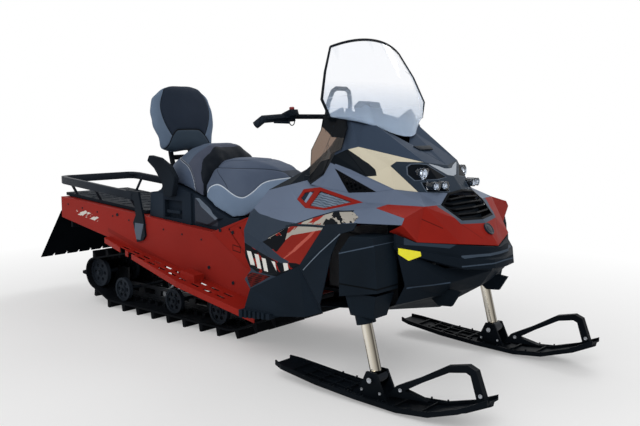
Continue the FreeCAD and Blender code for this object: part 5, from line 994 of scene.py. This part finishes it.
def bar_along(line, tall, wide):
    """Flat bar: one corner of a plane drawn from spot to spot, then up, then given its thickness."""
    bpy.ops.object.select_all(action="DESELECT")
    bpy.ops.mesh.primitive_plane_add(size=0.02, location=line[0])
    piece = bpy.context.object
    bpy.ops.object.transform_apply(location=True)
    pick(piece, lambda vertex: vertex.index > 0, "VERT")
    bpy.ops.mesh.delete(type="VERT")
    choose("SELECT")
    bpy.ops.transform.translate(value=(0.01, 0.01, 0))
    for a, b in zip(line, line[1:]):
        extrude(tuple(q - p for p, q in zip(a, b)))
    choose("SELECT")
    extrude((0, 0, tall))
    leave()
    thick = piece.modifiers.new("thick", "SOLIDIFY")
    thick.thickness = wide
    thick.offset = 0
    thick.use_even_offset = True
    bake(piece)
    return piece


def mirrored(places):
    return [(x, y * side, z) for x, y, z in places for side in (-1, 1)]


def windshield_trim():
    """Rubber strip along the sheet's free edge, cut off at the cowl."""
    foot = 1.062
    piece = copied("windshield_trim", "windshield")
    bpy.ops.mesh.select_mode(type="EDGE")
    choose("DESELECT")
    bpy.ops.mesh.edges_select_sharp(sharpness=math.radians(55))
    choose("INVERT")
    bpy.ops.mesh.delete(type="EDGE_FACE")
    leave()
    spots = spots_of(piece.data)
    top = int(np.argmax(np.where(spots[:, 2] > spots[:, 2].max() - 0.006, spots[:, 0], -9)))
    pick(piece, lambda vertex: vertex.index == top, "VERT")
    bpy.ops.mesh.select_linked()
    choose("INVERT")
    bpy.ops.mesh.delete(type="VERT")
    leave()
    pick(piece, lambda vertex: vertex.co.z < foot, "VERT")
    bpy.ops.mesh.delete(type="VERT")
    leave()
    bpy.ops.object.convert(target="CURVE")
    line = bpy.context.object.data
    line.bevel_depth = 0.0046
    line.bevel_resolution = 2
    line.use_fill_caps = True
    bpy.ops.object.convert(target="MESH")
    settled([bpy.context.object], "windshield_trim", "black_plastic", 0, looks["gloss_black_plastic"])


def shade_backing_sheets():
    """Dark sheets inside the body that stand in for the shade behind the vents, meshes and hood slats, and
    close the view through them.
    """
    walls = []
    for (x, y, z), size in (((0.8, 0.262, 0.735), (0.42, 0.012, 0.22)),
                            ((1.135, 0.222, 0.672), (0.24, 0.012, 0.12))):
        for side in (-1, 1):
            walls.append(block((x, y * side, z), size))
            drawn_in(walls[-1], in_front, (1, 1, 0.7))
    low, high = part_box("hood_grille")
    slope = math.atan2(high.z - low.z, high.x - low.x)
    below = 0.032
    walls.append(block(((low.x + high.x) / 2 - below, 0, (low.z + high.z) / 2 - below), (0.15, 0.3, 0.006),
                       (0, slope, 0)))
    drawn_in(walls[-1], in_front, (1, 0.6, 1))
    settled(walls, "shade_backing_sheets", "black_plastic", 0.002)


def lamp_units():
    """Projector bowls in dark bezels, each behind its own lens."""
    bowls, bezels = [], []
    for x, y, z, radius in ((1.122, 0.15, 0.868, 0.0195), (1.198, 0.11, 0.822, 0.012),
                            (1.188, 0.16, 0.822, 0.012)):
        for side in (-1, 1):
            place = Vector((x, y * side, z))
            facing = Vector((1, side * 0.25, 0)).normalized()
            bowls.append(disc(place, facing, radius, 0.03, 20))
            pressed(bowls[-1], on_top, (radius * 0.16, 0), (radius * 0.25, -0.008), (radius * 0.18, 0.01))
            bezels.append(disc(place + facing * 0.002, facing, radius * 1.25, 0.034, 20))
            pressed(bezels[-1], on_top, (radius * 0.12, 0), (radius * 0.14, -0.014))
    settled(bowls, "lamp_projectors", "axle_steel", 0.0012, reflector)
    settled(bezels, "lamp_bezels", "gloss_black_plastic", 0.0015, bezel_black)


def nose_disc():
    """Bare round boss with a raised rim."""
    piece = disc((1.3575, 0, 0.6455), (0.81, 0, 0.57), 0.027, 0.01, 32)
    pressed(piece, on_top, (0.0035, 0), (0.0008, -0.0016), (0.007, 0), (0.0008, 0.0012))
    settled([piece], "nose_disc", "dark_slate_plastic", 0.0006, boss_black)


def steering_controls():
    """Red stop button, switch housings, and the thumb levers with their rings."""
    red = disc((0.497, -0.243, 1.133), (-0.1, 0, 1), 0.0085, 0.016)
    pick(red, on_top)
    bpy.ops.transform.resize(value=(1.45, 1.45, 1))
    extrude((0, 0, 0.004))
    bpy.ops.transform.resize(value=(0.8, 0.8, 1))
    leave()
    settled([red], "stop_button", "red_lens", 0.0012, body="steering")
    parts = []
    for side in (-1, 1):
        parts.append(block((0.497, side * 0.246, 1.113), (0.042, 0.052, 0.03), (0, math.radians(-20), 0)))
        pressed(parts[-1], on_top, (0.18, 0.1))
        turn = (0, 0, side * math.radians(14))
        parts.append(block((0.512, side * 0.325, 1.076), (0.01, 0.08, 0.012), turn))
        drawn_in(parts[-1], lambda face: face.normal.y * side > 0.9, (1, 1, 0.6))
    for side in (-1, 1):
        bpy.ops.object.select_all(action="DESELECT")
        bpy.ops.mesh.primitive_torus_add(location=(0.507, side * 0.2537, 1.08), rotation=aimed((1, 0, 0)),
                                         major_radius=0.017, minor_radius=0.0024, major_segments=20,
                                         minor_segments=8)
        parts.append(bpy.context.object)
        drawn_in(parts[-1], lambda face: face.center.y > 0.008, (1, 1.3, 1))
    settled(parts, "bar_controls", "black_plastic", 0.003, body="steering")


def cowl_slot():
    """Dark intake lip on the cowl's brow."""
    piece = block((1.04, 0.0, 0.966), (0.03, 0.13, 0.012), (0, math.radians(24), 0))
    drawn_in(piece, in_front, (1, 0.8, 0.3))
    settled([piece], "cowl_intake", "black_plastic", 0.002)


def rack_bars():
    """Flat bar over the rack's tube, falling to the rear like the deck."""
    rear, height, fall, run = -1.372, 0.71, 0.052, 0.672
    half = [(-0.656, 0.27), (-1.324, 0.27), (-1.358, 0.256), (rear, 0.222)]
    line = [(x, -y, height - fall * (x - rear) / run) for x, y in half]
    line += [(x, -y, z) for x, y, z in reversed(line)]
    settled([bar_along(line, 0.044, 0.0255)], "rack_bars", "rack_paint", 0.003)


def ski_fittings(side, hand):
    """Long ridges and edge studs on the ski, bright bolts through its saddle and loop."""
    middle = 0.475
    run = (0.8, 0.95, 1.05, 1.2, 1.3, 1.4, 1.5)
    rise = (0.0469, 0.0338, 0.0278, 0.0218, 0.0202, 0.0306, 0.0579)
    edge_run = (0.95, 1.05, 1.2, 1.3, 1.4)
    edge_rise = (0.0468, 0.0408, 0.0348, 0.0332, 0.0436)
    ridges = []
    for off, end in ((-0.062, 1.5), (0.062, 1.5), (-0.03, 1.05), (0.03, 1.05)):
        line = [(x, side * (middle + off), z - 0.002) for x, z in zip(run, rise) if x <= end]
        ridges.append(bar_along(line, 0.012, 0.006))
    for x in np.linspace(0.92, 1.42, 8):
        for off in (-0.0752, 0.0752):
            top = float(np.interp(x, edge_run, edge_rise))
            ridges.append(disc((x, side * (middle + off), top + 0.002), (0, 0, 1), 0.004, 0.01, 8))
    settled(ridges, "ski_ridges_" + hand, "ski_plastic", 0.001, body="ski_unit_" + hand)
    bolts = []
    for x, off, z, radius in ((1.147, 0.052, 0.097, 0.011), (1.2647, 0.014, 0.0748, 0.008),
                              (1.6, 0.014, 0.13, 0.008), (1.105, 0.042, 0.052, 0.006),
                              (1.19, 0.042, 0.052, 0.006)):
        for way in (-1, 1):
            bolts.append(screw((x, side * middle + way * off, z), (0, way, 0), radius))
    settled(bolts, "ski_bolts_" + hand, "silver_arm", 0.0006, body="ski_unit_" + hand)


def body_screws():
    """Cap screws and plugs on tunnel, side plates, running boards, seat base and rack."""
    caps = [(-0.045, 0.2695, 0.353), (0.1285, 0.2695, 0.297), (0.047, 0.2745, 0.5495), (0.136, 0.2745, 0.547),
            (-0.805, 0.2695, 0.56), (-0.42, 0.2375, 0.56), (-0.3, 0.2375, 0.545)]
    rivets = [(x, 0.269, 0.585 - 0.1 * (x + 1.3) / 1.25) for x in np.linspace(-1.3, -0.1, 9)]
    heads = [screw(place, (0, place[1], 0), 0.0085) for place in mirrored(caps)]
    heads += [disc(place, (0, place[1], 0), 0.005, 0.003, 10) for place in mirrored(rivets)]
    settled(heads, "body_screws", "black_plastic", 0.0006, looks["wheel_plastic"])


windshield_trim()
shade_backing_sheets()
lamp_units()
nose_disc()
steering_controls()
cowl_slot()
rack_bars()
ski_fittings(-1, "right")
ski_fittings(1, "left")
body_screws()


# Studio

def seen_directly(tree):
    """1 for the rays of camera, reflection and glass, 0 for the light that falls on the object."""
    path = tree.nodes.new("ShaderNodeLightPath")
    either = path.outputs["Is Camera Ray"]
    for kind in ("Is Glossy Ray", "Is Transmission Ray"):
        larger = tree.nodes.new("ShaderNodeMath")
        larger.operation = "MAXIMUM"
        tree.links.new(either, larger.inputs[0])
        tree.links.new(path.outputs[kind], larger.inputs[1])
        either = larger.outputs[0]
    return either


bpy.ops.mesh.primitive_plane_add(size=60)
floor = bpy.context.object
floor.name = "studio_floor"
ground = Look("studio_floor")
ground.set(Base_Color=(0.88, 0.88, 0.88, 1), Roughness=0.9)
reach = ground.add("ShaderNodeVectorMath", operation="LENGTH")
ground.feed(reach, [(0, ground.place)])
fade = ground.ranged(reach.outputs["Value"], 1.6, 3.4, 0.3, 1.0)
page_white = ground.add("ShaderNodeEmission").outputs[0]
ground.overlay(ground.times(fade, seen_directly(ground.tree)), page_white)
dress(floor, ground)

world = bpy.data.worlds.new("studio")
bpy.context.scene.world = world
world.use_nodes = True
tree = world.node_tree
sky = tree.nodes["Background"]
page = tree.nodes.new("ShaderNodeBackground")
for background, strength in ((sky, 0.5), (page, 1.0)):
    background.inputs["Color"].default_value = (1, 1, 1, 1)
    background.inputs["Strength"].default_value = strength
mix = tree.nodes.new("ShaderNodeMixShader")
for i, source in enumerate((seen_directly(tree), sky.outputs[0], page.outputs[0])):
    tree.links.new(source, mix.inputs[i])
tree.links.new(mix.outputs[0], tree.nodes["World Output"].inputs["Surface"])

LIT_SPOT = Vector((0, 0, 0.5))


def soft_lamp(name, place, power):
    bpy.ops.object.light_add(type="AREA", location=place)
    light = bpy.context.object
    light.name = name
    light.data.size = 3.0
    light.data.energy = power
    light.rotation_euler = (LIT_SPOT - Vector(place)).to_track_quat("-Z", "Y").to_euler()


soft_lamp("key", (3.5, -4.5, 4.5), 130)
soft_lamp("fill", (-4.5, -4.0, 3.5), 60)
soft_lamp("rim", (0.0, 4.5, 4.5), 90)
